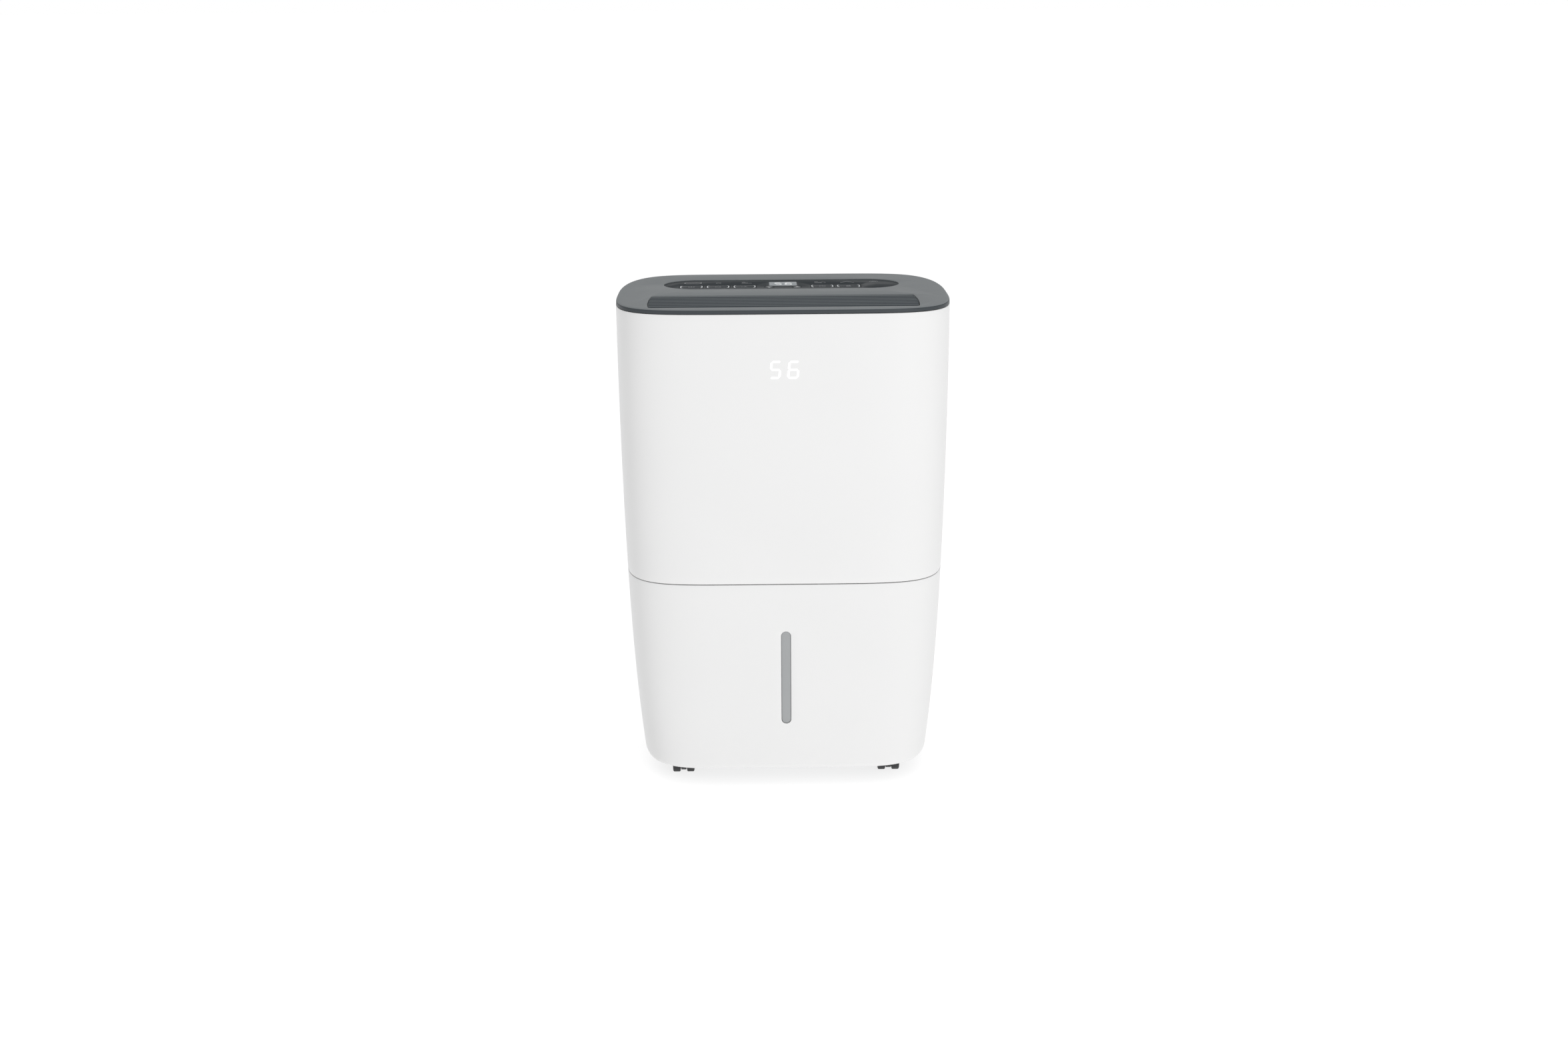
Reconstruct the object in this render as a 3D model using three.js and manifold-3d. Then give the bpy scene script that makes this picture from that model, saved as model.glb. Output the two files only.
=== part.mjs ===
// Portable compressor dehumidifier on four twin-wheel casters: pull-out water tank low in the front,
// air outlet louvre and control panel in the top, air inlet with filter cassette in the back.
// Millimetres, +Z up, the front faces -Y, origin on the floor under the centre.
import * as THREE from "three";
import { mergeVertices } from "three/addons/utils/BufferGeometryUtils.js";
import Module from "manifold-3d";

const wasm = await Module();
wasm.setup();
const { Manifold } = wasm;

// ---- overall body ----
const HEIGHT = 516; // floor to top plane
const HALF_W = 175; // half width at the top
const HALF_D = 130; // half depth at the top
const BASE_Z = 18.8; // lowest edge of the housing
const TOP_SEAM_Z = 511.2; // joint between the white housing and the grey top
const SEAM_Z = 226.8; // joint between tank front and upper front cover
const SPLIT_Y = -10; // joint between the front pieces and the rear cover
const WALL = 2.5; // housing wall
const GAP = 0.35; // clearance between neighbours
const EXP_X = [6.1, 7.5]; // plan outline exponents, front half and rear half
const EXP_Y = [3.8, 2.2];
const RING = 36; // points round a plan outline

// ---- top ----
const LOUVRE = { x: 139.5, y0: -114, y1: -33, bulge: 2.5, r: 4 };
const PANEL = { cx: 93, r: 35, cy: 49, z0: 512.3, z1: 515.3 };
const KEYS = [
  ["key_power", -111, -85, 25, 44],
  ["key_mode", -82, -56, 25, 44],
  ["key_fan", -53, -27.5, 25, 44],
  ["key_timer", 31.5, 57, 25, 44],
  ["key_lock", 59.5, 86, 25, 44],
  ["key_down", -18.5, -8.5, 25, 34],
  ["key_up", 11.7, 21.7, 25, 34],
];
const DISPLAY = { x0: -13.5, x1: 17, y0: 40, y1: 69.5 };

// ---- tank ----
const TANK = { z0: 36, z1: 196, y1: -16, inset: 3.1, wall: 2 };
const WINDOW = { x: 5.2, z0: 71, z1: 175 };
const HANDLE = { y: -50, z: 208, arm: 46, x: 124, r: 4 };
const FLOAT = { x: 92, y: -34, z0: 140, z1: 165 };

// ---- casters ----
const CASTER = { x: 112, front: -77, rear: 80, r: 12, trail: 7, pocket: 24.2, stem: 3 };

// ---- air path and refrigeration ----
const INLET = { x: 121.2, z0: 253.3, z1: 470.7 };
const FAN = { z: 368, y0: -106, y1: -38, r: 92, wheel: 76 };
const COMP = { x: -20, y: 58, r: 49, z0: 47, z1: 182 };
const EVAP = { x: 116, y0: 88, y1: 108, z0: 264, z1: 458 };
const COND = { x: 116, y0: 60, y1: 82, z0: 264, z1: 458 };
const SHELF_Z = 262;
const REAR_SHELF_Z = 240;

// ------------------------------------------------------------------ geometry helpers
function solid(geometry) {
  const g = geometry.index ? geometry.toNonIndexed() : geometry;
  const bare = new THREE.BufferGeometry().setAttribute("position", g.getAttribute("position"));
  const m = mergeVertices(bare, 1e-4);
  let s = new Manifold(
    new wasm.Mesh({ numProp: 3, vertProperties: m.attributes.position.array, triVerts: new Uint32Array(m.index.array) }),
  );
  if (s.volume() < 0) {
    const t = new Uint32Array(m.index.array);
    for (let i = 0; i < t.length; i += 3) [t[i + 1], t[i + 2]] = [t[i + 2], t[i + 1]];
    s = new Manifold(new wasm.Mesh({ numProp: 3, vertProperties: m.attributes.position.array, triVerts: t }));
  }
  return s;
}
const add = (...list) => list.flat().reduce((a, b) => a.add(b));
const cut = (a, ...list) => list.flat().reduce((x, b) => x.subtract(b), a);
const box = (x0, x1, y0, y1, z0, z1) =>
  solid(new THREE.BoxGeometry(x1 - x0, y1 - y0, z1 - z0).translate((x0 + x1) / 2, (y0 + y1) / 2, (z0 + z1) / 2));
function rod(axis, r, a0, a1, u, v, seg = 24, r2 = r) {
  const g = new THREE.CylinderGeometry(r2, r, a1 - a0, seg);
  const m = (a0 + a1) / 2;
  if (axis === "z") g.rotateX(Math.PI / 2).translate(u, v, m);
  if (axis === "y") g.translate(u, m, v);
  if (axis === "x") g.rotateZ(-Math.PI / 2).translate(m, u, v);
  return solid(g);
}
// Plan shape extruded upward; points are [x, y].
function slab(points, z0, z1) {
  const s = new THREE.Shape(points.map(([x, y]) => new THREE.Vector2(x, y)));
  return solid(new THREE.ExtrudeGeometry(s, { depth: z1 - z0, bevelEnabled: false, curveSegments: 1 }).translate(0, 0, z0));
}
// Front-view shape extruded along Y; points are [x, z].
function wallSlab(points, y0, y1) {
  const s = new THREE.Shape(points.map(([x, z]) => new THREE.Vector2(x, z)));
  const g = new THREE.ExtrudeGeometry(s, { depth: y1 - y0, bevelEnabled: false, curveSegments: 1 });
  return solid(g.rotateX(Math.PI / 2).translate(0, y1, 0));
}
function lathe(profile, x, y, seg = 20) {
  const g = new THREE.LatheGeometry(profile.map(([r, z]) => new THREE.Vector2(r, z)), seg);
  return solid(g.rotateX(Math.PI / 2).translate(x, y, 0));
}
function pipe(points, r, steps, seg = 8) {
  const path = new THREE.CatmullRomCurve3(points.map((p) => new THREE.Vector3(...p)), false, "centripetal");
  const ring = [];
  for (let i = 0; i < seg; i++) {
    const a = (i / seg) * 2 * Math.PI;
    ring.push(new THREE.Vector2(r * Math.cos(a), r * Math.sin(a)));
  }
  return solid(
    new THREE.ExtrudeGeometry(new THREE.Shape(ring), { steps, extrudePath: path, bevelEnabled: false, curveSegments: 1 }),
  );
}
function stadium(cx, r, cy, seg = 10) {
  const p = [];
  for (let i = 0; i <= seg; i++) {
    const a = -Math.PI / 2 + (i / seg) * Math.PI;
    p.push([cx + r * Math.cos(a), cy + r * Math.sin(a)]);
  }
  for (let i = 0; i <= seg; i++) {
    const a = Math.PI / 2 + (i / seg) * Math.PI;
    p.push([-cx + r * Math.cos(a), cy + r * Math.sin(a)]);
  }
  return p;
}
function roundRect(x0, x1, y0, y1, r, seg = 4) {
  const p = [];
  for (const [cx, cy, a0] of [
    [x1 - r, y0 + r, -0.5],
    [x1 - r, y1 - r, 0],
    [x0 + r, y1 - r, 0.5],
    [x0 + r, y0 + r, 1],
  ])
    for (let i = 0; i <= seg; i++) {
      const a = (a0 + (0.5 * i) / seg) * Math.PI;
      p.push([cx + r * Math.cos(a), cy + r * Math.sin(a)]);
    }
  return p;
}

// Half width and half depth of the housing at a height.
const drop = (z) => (511 - Math.min(z, 511)) / 511;
const halfWidth = (z) => HALF_W - 14.8 * drop(z) ** 2 - 7.4 * drop(z) ** 6;
const halfFront = (z) => HALF_D - 3 * drop(z) ** 2.2;
// Point of the plan outline for a parameter value, half width, half depth in front and half depth behind.
function planPoint(t, a, bf, bb) {
  const c = Math.cos(t), s = Math.sin(t), k = s < 0 ? 0 : 1;
  return [
    a * Math.sign(c) * Math.abs(c) ** (2 / EXP_X[k]),
    (s < 0 ? bf : bb) * Math.sign(s) * Math.abs(s) ** (2 / EXP_Y[k]),
  ];
}

// Parameter values round the outline, closer together where it turns.
const TURN = (() => {
  const n = 4000;
  const at = (k) => planPoint((k / n) * 2 * Math.PI, HALF_W, HALF_D, HALF_D);
  const sum = [0];
  let last = null;
  for (let k = 1; k <= n; k++) {
    const [x0, y0] = at(k - 1), [x1, y1] = at(k);
    const d = Math.hypot(x1 - x0, y1 - y0);
    const a = Math.atan2(y1 - y0, x1 - x0);
    let turn = last === null ? 0 : Math.abs(a - last);
    if (turn > Math.PI) turn = 2 * Math.PI - turn;
    last = a;
    sum.push(sum[k - 1] + d / 1000 + turn * 0.32);
  }
  const out = [];
  let k = 0;
  for (let i = 0; i < RING; i++) {
    const want = ((i + 0.5) / RING) * sum[n];
    while (sum[k] < want) k++;
    out.push((k / n) * 2 * Math.PI);
  }
  return out;
})();

function ring(z, inset) {
  const a = halfWidth(z) - inset, bf = halfFront(z) - inset, bb = HALF_D - inset;
  return TURN.map((t) => [...planPoint(t, a, bf, bb), z]);
}
// Closed body through a stack of equal rings; rings are [height, inset] or [height, inset, profile height].
function stack(levels) {
  const rings = levels.map(([z, inset, zp]) => ring(zp ?? z, inset).map(([x, y]) => [x, y, z]));
  const pos = [];
  const tri = (a, b, c) => pos.push(...a, ...b, ...c);
  for (let i = 0; i + 1 < rings.length; i++)
    for (let j = 0; j < RING; j++) {
      const k = (j + 1) % RING;
      tri(rings[i][j], rings[i][k], rings[i + 1][k]);
      tri(rings[i][j], rings[i + 1][k], rings[i + 1][j]);
    }
  const first = rings[0], last = rings[rings.length - 1];
  for (let j = 1; j + 1 < RING; j++) {
    tri(first[0], first[j + 1], first[j]);
    tri(last[0], last[j], last[j + 1]);
  }
  return solid(new THREE.BufferGeometry().setAttribute("position", new THREE.Float32BufferAttribute(pos, 3)));
}

const group = new THREE.Group();
group.name = "dehumidifier";
function piece(name, s, color, roughness = 0.5, metalness = 0, extra = {}) {
  const m = s.getMesh();
  const p = new Float32Array(m.numVert * 3);
  for (let i = 0; i < m.numVert; i++) p.set(m.vertProperties.subarray(i * m.numProp, i * m.numProp + 3), i * 3);
  const g = new THREE.BufferGeometry()
    .setAttribute("position", new THREE.BufferAttribute(p, 3))
    .setIndex(new THREE.BufferAttribute(m.triVerts, 1));
  const flat = g.toNonIndexed();
  flat.computeVertexNormals();
  const mesh = new THREE.Mesh(flat, new THREE.MeshStandardMaterial({ color, roughness, metalness, ...extra }));
  mesh.name = name;
  group.add(mesh);
}
const WHITE = 0xf0f0ee, DARK = 0x55595b, TOPGREY = 0x8b8e90, BLACK = 0x1d1e20, STEEL = 0xb4b8bb, COPPER = 0xb8734a;
const ALU = 0xc9cdd0, COMPBLACK = 0x25272a, PLASTICGREY = 0xb9bcbd;

// ------------------------------------------------------------------ housing
const LEVELS_LOW = [
  [BASE_Z, 3.2, 18.8],
  [20.4, 1.2, 20],
  [25.2, 0],
  [80, 0],
  [150, 0],
  [SEAM_Z, 0],
];
const outerLow = stack(LEVELS_LOW);
const outerAll = stack([
  ...LEVELS_LOW,
  [340, 0],
  [TOP_SEAM_Z, 0],
]);
const inner = (inset, z0 = 0, z1 = 600, levels = [25.2, 80, 150, SEAM_Z, 340]) =>
  stack([[z0, inset], ...levels.filter((z) => z > z0 + 4 && z < z1 - 4).map((z) => [z, inset]), [z1, inset]]);

const frontHalf = (z0, z1) => box(-200, 200, -200, SPLIT_Y - GAP / 2, z0, z1);
const rearHalf = (z0, z1) => box(-200, 200, SPLIT_Y + GAP / 2, 200, z0, z1);

// Upper front cover: wall, plus a stiffening web behind it and a tongue that locates it.
{
  let s = outerAll.intersect(frontHalf(SEAM_Z + GAP, TOP_SEAM_Z - GAP));
  s = cut(s, inner(WALL, 200, 600));
  const frame = cut(
    stack([[SEAM_Z + GAP, 0.6], [SEAM_Z + 3.2, 0.6]]).intersect(frontHalf(0, 600)),
    inner(9, 200, 260),
  );
  s = s.add(frame);
  piece("front_cover", s, WHITE, 0.38);
}

// Rear cover: inlet opening, side grips, drain port and cord hole.
{
  let s = outerAll.intersect(rearHalf(BASE_Z, TOP_SEAM_Z - GAP));
  s = cut(s, inner(WALL, 0, 600));
  // grip pockets, 22 mm deep
  for (const side of [-1, 1]) {
    const bx = (d0, d1, y0, y1, z0, z1) => (side > 0 ? box(d0, d1, y0, y1, z0, z1) : box(-d1, -d0, y0, y1, z0, z1));
    s = s.add(bx(146, 174, 4, 78, 421, 453).intersect(inner(0.6, 400, 470)));
    s = cut(s, bx(148.5, 200, 6.5, 75.5, 423.5, 450.5));
  }
  s = cut(s, box(-INLET.x, INLET.x, 100, 200, INLET.z0, INLET.z1));
  // ledge behind the inlet that the cassette clips on
  s = add(
    s,
    cut(
      box(-124, 124, 111, 114.6, INLET.z0 - 3, INLET.z1 + 3),
      box(-114, 114, 100, 130, 260, 464),
    ),
    cut(
      box(-124, 124, 111, 124.5, INLET.z0 - 3, INLET.z1 + 3),
      box(-INLET.x, INLET.x, 100, 130, INLET.z0, INLET.z1),
    ),
  );
  // drain port
  s = s.add(rod("y", 14.5, 109, 127, 90, 150, 24));
  s = cut(s, rod("y", 12, 124, 140, 90, 150, 24), rod("y", 8.3, 100, 140, 90, 150, 24));
  // cord hole
  s = cut(s, rod("y", 7.5, 100, 140, -106, 62, 20));
  // sensor boss
  s = s.add(box(-138, -131, 112.3, 117.4, 398, 410));
  piece("rear_cover", s, WHITE, 0.38);
}

// Base pan: floor, rim, four caster cups, tank rails.
const casters = [
  ["fl", -CASTER.x, CASTER.front, -1],
  ["fr", CASTER.x, CASTER.front, -1],
  ["rl", -CASTER.x, CASTER.rear, 1],
  ["rr", CASTER.x, CASTER.rear, 1],
];
{
  const ins = WALL + 0.9;
  let s = stack([[17.3, ins + 5, 18], [19, ins + 1.5, 19.5], [22, ins], [30, ins]]);
  s = cut(s, stack([[20, ins + 2.2, 22], [60, ins + 2.2, 30]]));
  for (const [, x, y] of casters) s = s.add(rod("z", CASTER.pocket + 2.6, 18, 33.2, x, y, 18));
  for (const x of [-52, 52]) s = s.add(box(x - 3, x + 3, -112, -18, 19, 35.6));
  // wall the bulkhead stands in
  s = s.add(box(-150, 150, -9.6, -5.6, 19, 27));
  for (const [, x, y] of casters)
    s = cut(s, rod("z", CASTER.pocket + 0.3, 5, 30.6, x, y, 18), rod("z", CASTER.stem + GAP + 0.2, 5, 60, x, y, 8));
  s = s.intersect(stack([[17, ins + 5.5, 18], [19, ins + 1.5, 19.5], [22, ins], [60, ins, 30]]));
  piece("base_pan", s, DARK, 0.6);
}

// Top cover: plate with rim, louvre opening, panel recess, locating lip.
function louvreShape(grow) {
  const { x, y0, y1, bulge, r } = LOUVRE;
  const p = [];
  const X = x + grow, Y0 = y0 - grow, Y1 = y1 + grow, yc = (Y0 + Y1) / 2, h = (Y1 - Y0) / 2;
  // straight front and back, ends that swell slightly, small corner radii
  const end = (side) => {
    const q = [];
    for (let i = 0; i <= 10; i++) {
      const t = -1 + (2 * i) / 10;
      const yy = yc + h * Math.sign(t) * (1 - (1 - Math.abs(t)) ** 1.6);
      const u = Math.abs(yy - yc) / h;
      const xx = X - bulge * u * u - r * (1 - Math.sqrt(Math.max(0, 1 - Math.max(0, (u * h - (h - r)) / r) ** 2)));
      q.push([side * xx, yy]);
    }
    return q;
  };
  p.push(...end(1), ...end(-1).reverse());
  return p;
}
{
  let s = stack([
    [TOP_SEAM_Z, 0.1, 511],
    [514.2, 0.2, 511],
    [515.5, 0.9, 511],
    [HEIGHT, 2.4, 511],
  ]);
  s = cut(s, stack([[500, 3.4, 511], [512.6, 3.4, 511]]).intersect(cut(box(-200, 200, -200, 200, 500, 512.6), slab(stadium(PANEL.cx, PANEL.r + 4, PANEL.cy), 499, 513))));
  s = s.add(cut(stack([[504, 3.5, 511], [513, 3.5, 511]]), stack([[503, 5, 511], [514, 5, 511]])));
  s = cut(s, slab(louvreShape(0.4), 500, 530));
  s = cut(s, slab(stadium(PANEL.cx, PANEL.r + 0.4, PANEL.cy), PANEL.z0 - 0.3, 530), slab(stadium(PANEL.cx, PANEL.r - 2.5, PANEL.cy), 500, 530));
  piece("top_cover", s, TOPGREY, 0.45);
}

// Air outlet louvre: frame, eight slots, slanted vanes, four cross ribs.
{
  let s = cut(slab(louvreShape(0), 508.4, 515.6), slab(louvreShape(-2.2), 500, 530));
  const rows = 8, pitch = (LOUVRE.y1 - LOUVRE.y0) / rows;
  const clip = slab(louvreShape(-1), 500, 530);
  for (let i = 1; i < rows; i++) {
    const y = LOUVRE.y0 + i * pitch;
    const vane = wallSlab(
      [[-150, 0], [150, 0], [150, 1.3], [-150, 1.3]].map(([x, z]) => [x, z]), 0, 8.5,
    ).rotate([38, 0, 0]).translate([0, y - 3.4, 509]);
    s = s.add(vane.intersect(clip));
  }
  for (const x of [-69, 0, 69]) s = s.add(box(x - 1, x + 1, LOUVRE.y0 + 1, LOUVRE.y1 - 1, 508.6, 511.2));
  s = s.intersect(box(-200, 200, -200, 200, 508.4, 515.6));
  piece("outlet_grille", s, DARK, 0.5);
}

// Control panel with openings for the keys and the display window.
{
  let s = slab(stadium(PANEL.cx, PANEL.r, PANEL.cy), PANEL.z0, PANEL.z1);
  for (const [, x0, x1, y0, y1] of KEYS) s = cut(s, slab(roundRect(x0 - 0.35, x1 + 0.35, y0 - 0.35, y1 + 0.35, 1.6, 3), 500, 530));
  s = cut(s, slab(roundRect(DISPLAY.x0 - 0.35, DISPLAY.x1 + 0.35, DISPLAY.y0 - 0.35, DISPLAY.y1 + 0.35, 1.6, 3), 500, 530));
  piece("control_panel", s, 0x4b5052, 0.22);
}
for (const [name, x0, x1, y0, y1] of KEYS)
  piece(name, slab(roundRect(x0, x1, y0, y1, 1.4, 3), 511.6, PANEL.z1), 0x505557, 0.22);
piece("display_window", slab(roundRect(DISPLAY.x0, DISPLAY.x1, DISPLAY.y0, DISPLAY.y1, 1.4, 3), 512.6, PANEL.z1 - 0.1), 0x9aa3a8, 0.1);
// Board under the panel with its display module raised under the window.
{
  let s = box(-112, 112, 24, 76, 501, 502.8).add(box(-95, 95, 17.8, 25, 501, 502.8));
  s = s.add(box(DISPLAY.x0 + 1, DISPLAY.x1 - 1, DISPLAY.y0 + 1, DISPLAY.y1 - 1, 502.5, 509));
  for (const [, x0, x1, y0, y1] of KEYS) {
    const x = (x0 + x1) / 2, y = (y0 + y1) / 2;
    s = s.add(box(x - 3, x + 3, y - 3, y + 3, 502.5, 507.5));
  }
  for (const [x, y] of [[-90, 20.8], [90, 20.8], [-104, 70], [104, 70]]) s = s.add(rod("z", 2.4, 502.5, 511.6, x, y, 8));
  piece("control_board", s, 0x1f6b4a, 0.55);
}
piece(
  "front_display_module",
  add(box(-19, 19, -126.6, -120, 441, 470), box(-30, 30, -120.2, -118.4, 434, 477)),
  0x2b2d30,
  0.4,
);

// ------------------------------------------------------------------ inner structure
{
  const z0 = 27.6;
  let s = box(-165, 165, -8.6, -6.6, z0, SHELF_Z + 3);
  s = s.add(box(-165, 165, -124, -8, SHELF_Z, SHELF_Z + 3));
  s = s.add(box(-128, 128, -8, 119, REAR_SHELF_Z, REAR_SHELF_Z + 3));
  for (const x of [-126, 124]) s = s.add(box(x, x + 2, -8, 50, 205, REAR_SHELF_Z + 1));
  s = s.intersect(stack([[z0, 8.5], [60, 5], [100, 4.2], [160, 3.8], [230, 3.8], [300, 3.8]]));
  // spout and pipe holes
  s = cut(s, rod("y", 8, -30, 30, 0, 250.5, 16), box(-62, -34, -2, 44, 236, 246));
  piece("partition", s, 0xdcdddb, 0.55);
}
// Condensate tray with its spout over the tank.
{
  let s = cut(box(-123.5, 123.5, 54, 110.6, 243.4, 260), box(-121.3, 121.3, 56.2, 108.5, 245.4, 270));
  s = s.add(rod("y", 6.6, -30, 56.5, 0, 250.5, 16));
  s = cut(s, rod("y", 4.8, -40, 58, 0, 250.5, 16));
  s = cut(s, box(-4, 4, 50, 60, 250.5, 262).intersect(box(-4, 4, 56, 60, 250, 262)));
  piece("drip_tray", s, PLASTICGREY, 0.5);
}
// Finned coils with end plates and return bends.
function coil(name, c, color, bendSide, footZ) {
  const ym = (c.y0 + c.y1) / 2;
  let s = box(-c.x + 4, c.x - 4, c.y0 + 3.2, c.y1 - 3.2, c.z0 + 3, c.z1 - 3);
  const n = 15;
  for (let i = 0; i < n; i++) {
    const x = -c.x + 8 + (i * (2 * c.x - 16)) / (n - 1);
    s = s.add(box(x - 0.8, x + 0.8, c.y0, c.y1, c.z0, c.z1));
  }
  for (const e of [-1, 1]) s = s.add(box(e * (c.x - 3) - 1.2, e * (c.x - 3) + 1.2, c.y0, c.y1, footZ, c.z1 + 4));
  s = s.add(box(-c.x + 3, c.x - 3, c.y0, c.y1, c.z1 + 2.6, c.z1 + 4));
  for (let k = 0; k < 4; k++) {
    const z = c.z0 + 24 + k * 46;
    const x = bendSide * (c.x - 3);
    s = s.add(
      pipe([[x, ym, z - 10], [x + bendSide * 8, ym, z - 9], [x + bendSide * 11.5, ym, z], [x + bendSide * 8, ym, z + 9], [x, ym, z + 10]], 3.2, 5, 5),
    );
  }
  piece(name, s, color, 0.35, 0.8);
}
coil("evaporator_coil", EVAP, ALU, -1, 246);
coil("condenser_coil", COND, ALU, 1, 246);

// Compressor shell with its three-legged foot plate, on rubber feet.
const feetAt = [90, 210, 330].map((a) => [COMP.x + 52 * Math.cos((a * Math.PI) / 180), COMP.y + 52 * Math.sin((a * Math.PI) / 180)]);
{
  let s = lathe(
    [[0, COMP.z0], [34, COMP.z0], [44, COMP.z0 + 4], [COMP.r, COMP.z0 + 14], [COMP.r, 74], [COMP.r + 1.4, 75], [COMP.r + 1.4, 79], [COMP.r, 80],
     [COMP.r, COMP.z1 - 26], [45, COMP.z1 - 13], [34, COMP.z1 - 4], [18, COMP.z1], [0, COMP.z1]],
    COMP.x, COMP.y, 20,
  );
  for (const [x, y] of feetAt) {
    const a = Math.atan2(y - COMP.y, x - COMP.x);
    const dx = Math.cos(a), dy = Math.sin(a);
    const p = [[-11, 20], [-11, 52], [11, 52], [11, 20]].map(([u, v]) => [COMP.x + dx * v - dy * u, COMP.y + dy * v + dx * u]);
    s = s.add(slab(p.reverse(), 43, 48)).add(rod("z", 11, 43, 46, x, y, 16));
  }
  for (const [x, y] of feetAt) s = cut(s, rod("z", 4.4, 30, 60, x, y, 10));
  s = s.add(rod("z", 8, COMP.z1 - 3, COMP.z1 + 5, COMP.x + 18, COMP.y, 12));
  piece("compressor", s, COMPBLACK, 0.45, 0.3);
}
feetAt.forEach(([x, y], i) =>
  piece("compressor_foot_" + (i + 1), add(rod("z", 9, 20.4, 42.6, x, y, 16), rod("z", 3.9, 42, 52, x, y, 10)), 0x17181a, 0.9),
);
piece(
  "accumulator",
  lathe([[0, 88], [8, 88], [15, 95], [15, 158], [8, 166], [5, 172], [0, 172]], 60, COMP.y, 16),
  COMPBLACK, 0.4, 0.4,
);
piece("suction_pipe", pipe([[60, COMP.y, 172.6], [60, COMP.y, 192], [84, COMP.y, 206], [128, 64, 212], [137, 78, 236], [137, 96, 268], [133, 98, 286], [119.2, 98, 288]], 4, 15, 7), COPPER, 0.3, 0.9);
piece("discharge_pipe", pipe([[COMP.x - 22, COMP.y, 182.5], [COMP.x - 22, COMP.y, 200], [-60, 56, 214], [-120, 56, 218], [-136, 60, 236], [-136, 70, 300], [-132, 71, 330], [-119.2, 71, 332]], 3.2, 14, 6), COPPER, 0.3, 0.9);
piece(
  "filter_drier",
  lathe([[0, 300], [3, 300], [3, 306], [9, 312], [9, 352], [3, 358], [3, 364], [0, 364]], 139, 44, 14),
  COPPER, 0.3, 0.9,
);
piece("capillary_tube", pipe([[139, 44, 364.6], [139, 44, 376], [142, 56, 388], [140, 84, 392], [133, 98, 384], [119, 98, 382]], 1.6, 12, 5), COPPER, 0.3, 0.9);

// ------------------------------------------------------------------ blower
function scrollShape(grow) {
  const p = [];
  const r = FAN.r + grow;
  p.push([-136 - grow, 502], [-136 - grow, 476 - grow * 0.4]);
  for (let i = 0; i <= 18; i++) {
    const a = Math.PI * (0.86 + (1.28 * i) / 18);
    p.push([r * Math.cos(a) * (1 + 0.05 * (i / 18)), FAN.z + Math.max(r * Math.sin(a), -FAN.r - grow)]);
  }
  p.push([136 + grow, 476 - grow * 0.4], [136 + grow, 502]);
  return p;
}
{
  let s = wallSlab(scrollShape(0), FAN.y0, FAN.y1);
  s = cut(s, wallSlab(scrollShape(-2.2).map(([x, z]) => [x, z === 502 ? 510 : z]), FAN.y0 + 2.2, FAN.y1 - 2.2));
  s = cut(s, rod("y", 60, FAN.y1 - 10, FAN.y1 + 10, 0, FAN.z, 32));
  // pedestal feet on the shelf
  for (const x of [-48, 48]) s = s.add(cut(box(x - 6, x + 6, FAN.y0, FAN.y1, SHELF_Z + 3.4, 300), wallSlab(scrollShape(-1), FAN.y0 - 1, FAN.y1 + 1)));
  s = s.add(cut(rod("y", 63, FAN.y1 - 1, FAN.y1 + 3, 0, FAN.z, 32), rod("y", 60, -60, 20, 0, FAN.z, 32)));
  // bosses for the motor bracket
  for (const a of [90, 210, 330]) {
    const t = (a * Math.PI) / 180;
    s = s.add(rod("y", 5, FAN.y1 - 1, FAN.y1 + 6, 74 * Math.cos(t), FAN.z + 74 * Math.sin(t), 12));
  }
  piece("fan_scroll", s, 0xd3d5d4, 0.55);
}
{
  let s = rod("y", 34, -27, -24, 0, FAN.z, 20);
  for (const a of [90, 210, 330]) {
    const t = (a * Math.PI) / 180;
    const c = Math.cos(t), q = Math.sin(t);
    const arm = [[-5, 20], [5, 20], [5, 78], [-5, 78]].map(([u, v]) => [c * v - q * u, FAN.z + q * v + c * u]);
    s = s.add(wallSlab(arm, -31.6, -26));
  }
  s = cut(s, rod("y", 14, -60, 0, 0, FAN.z, 20));
  piece("motor_bracket", s, STEEL, 0.35, 0.9);
}
{
  let s = rod("y", 36, -23.6, 18, 0, FAN.z, 20);
  s = s.add(rod("y", 38, -12, 6, 0, FAN.z, 20));
  s = cut(s, rod("y", 4.8, -60, 10, 0, FAN.z, 12));
  piece("fan_motor", s, 0x9aa0a4, 0.4, 0.7);
}
piece("motor_shaft", rod("y", 4, -99, 6, 0, FAN.z, 16), STEEL, 0.25, 1);
{
  let s = rod("y", FAN.wheel, -101.5, -99.6, 0, FAN.z, 24);
  s = s.add(rod("y", 13, -100, -62, 0, FAN.z, 16, 10));
  for (let i = 0; i < 18; i++) {
    // blade leans forward from its root at r 57 to its tip at r 74.5
    const at = (r, deg) => [r * Math.cos((deg * Math.PI) / 180), FAN.z + r * Math.sin((deg * Math.PI) / 180)];
    const a = (i / 18) * 360;
    s = s.add(wallSlab([at(57, a), at(74.5, a + 13), at(74.5, a + 14.6), at(57, a + 2)], -100.6, -48.8));
  }
  s = s.add(cut(rod("y", FAN.wheel, -52, -48.6, 0, FAN.z, 24), rod("y", FAN.wheel - 7, -60, -40, 0, FAN.z, 24)));
  s = cut(s, rod("y", 4.4, -99.3, -40, 0, FAN.z, 16));
  piece("blower_wheel", s, 0x2c2e31, 0.55);
}
piece(
  "control_box",
  add(cut(box(58, 122, 0, 46, 243.4, 326), box(60, 120, 2, 44, 245.5, 330)), box(58, 122, 0, 46, 323.5, 326), box(70, 110, 10, 36, 245, 246)).subtract(box(84, 104, 40, 50, 290, 300)),
  0x3a3d40, 0.6,
);
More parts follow.
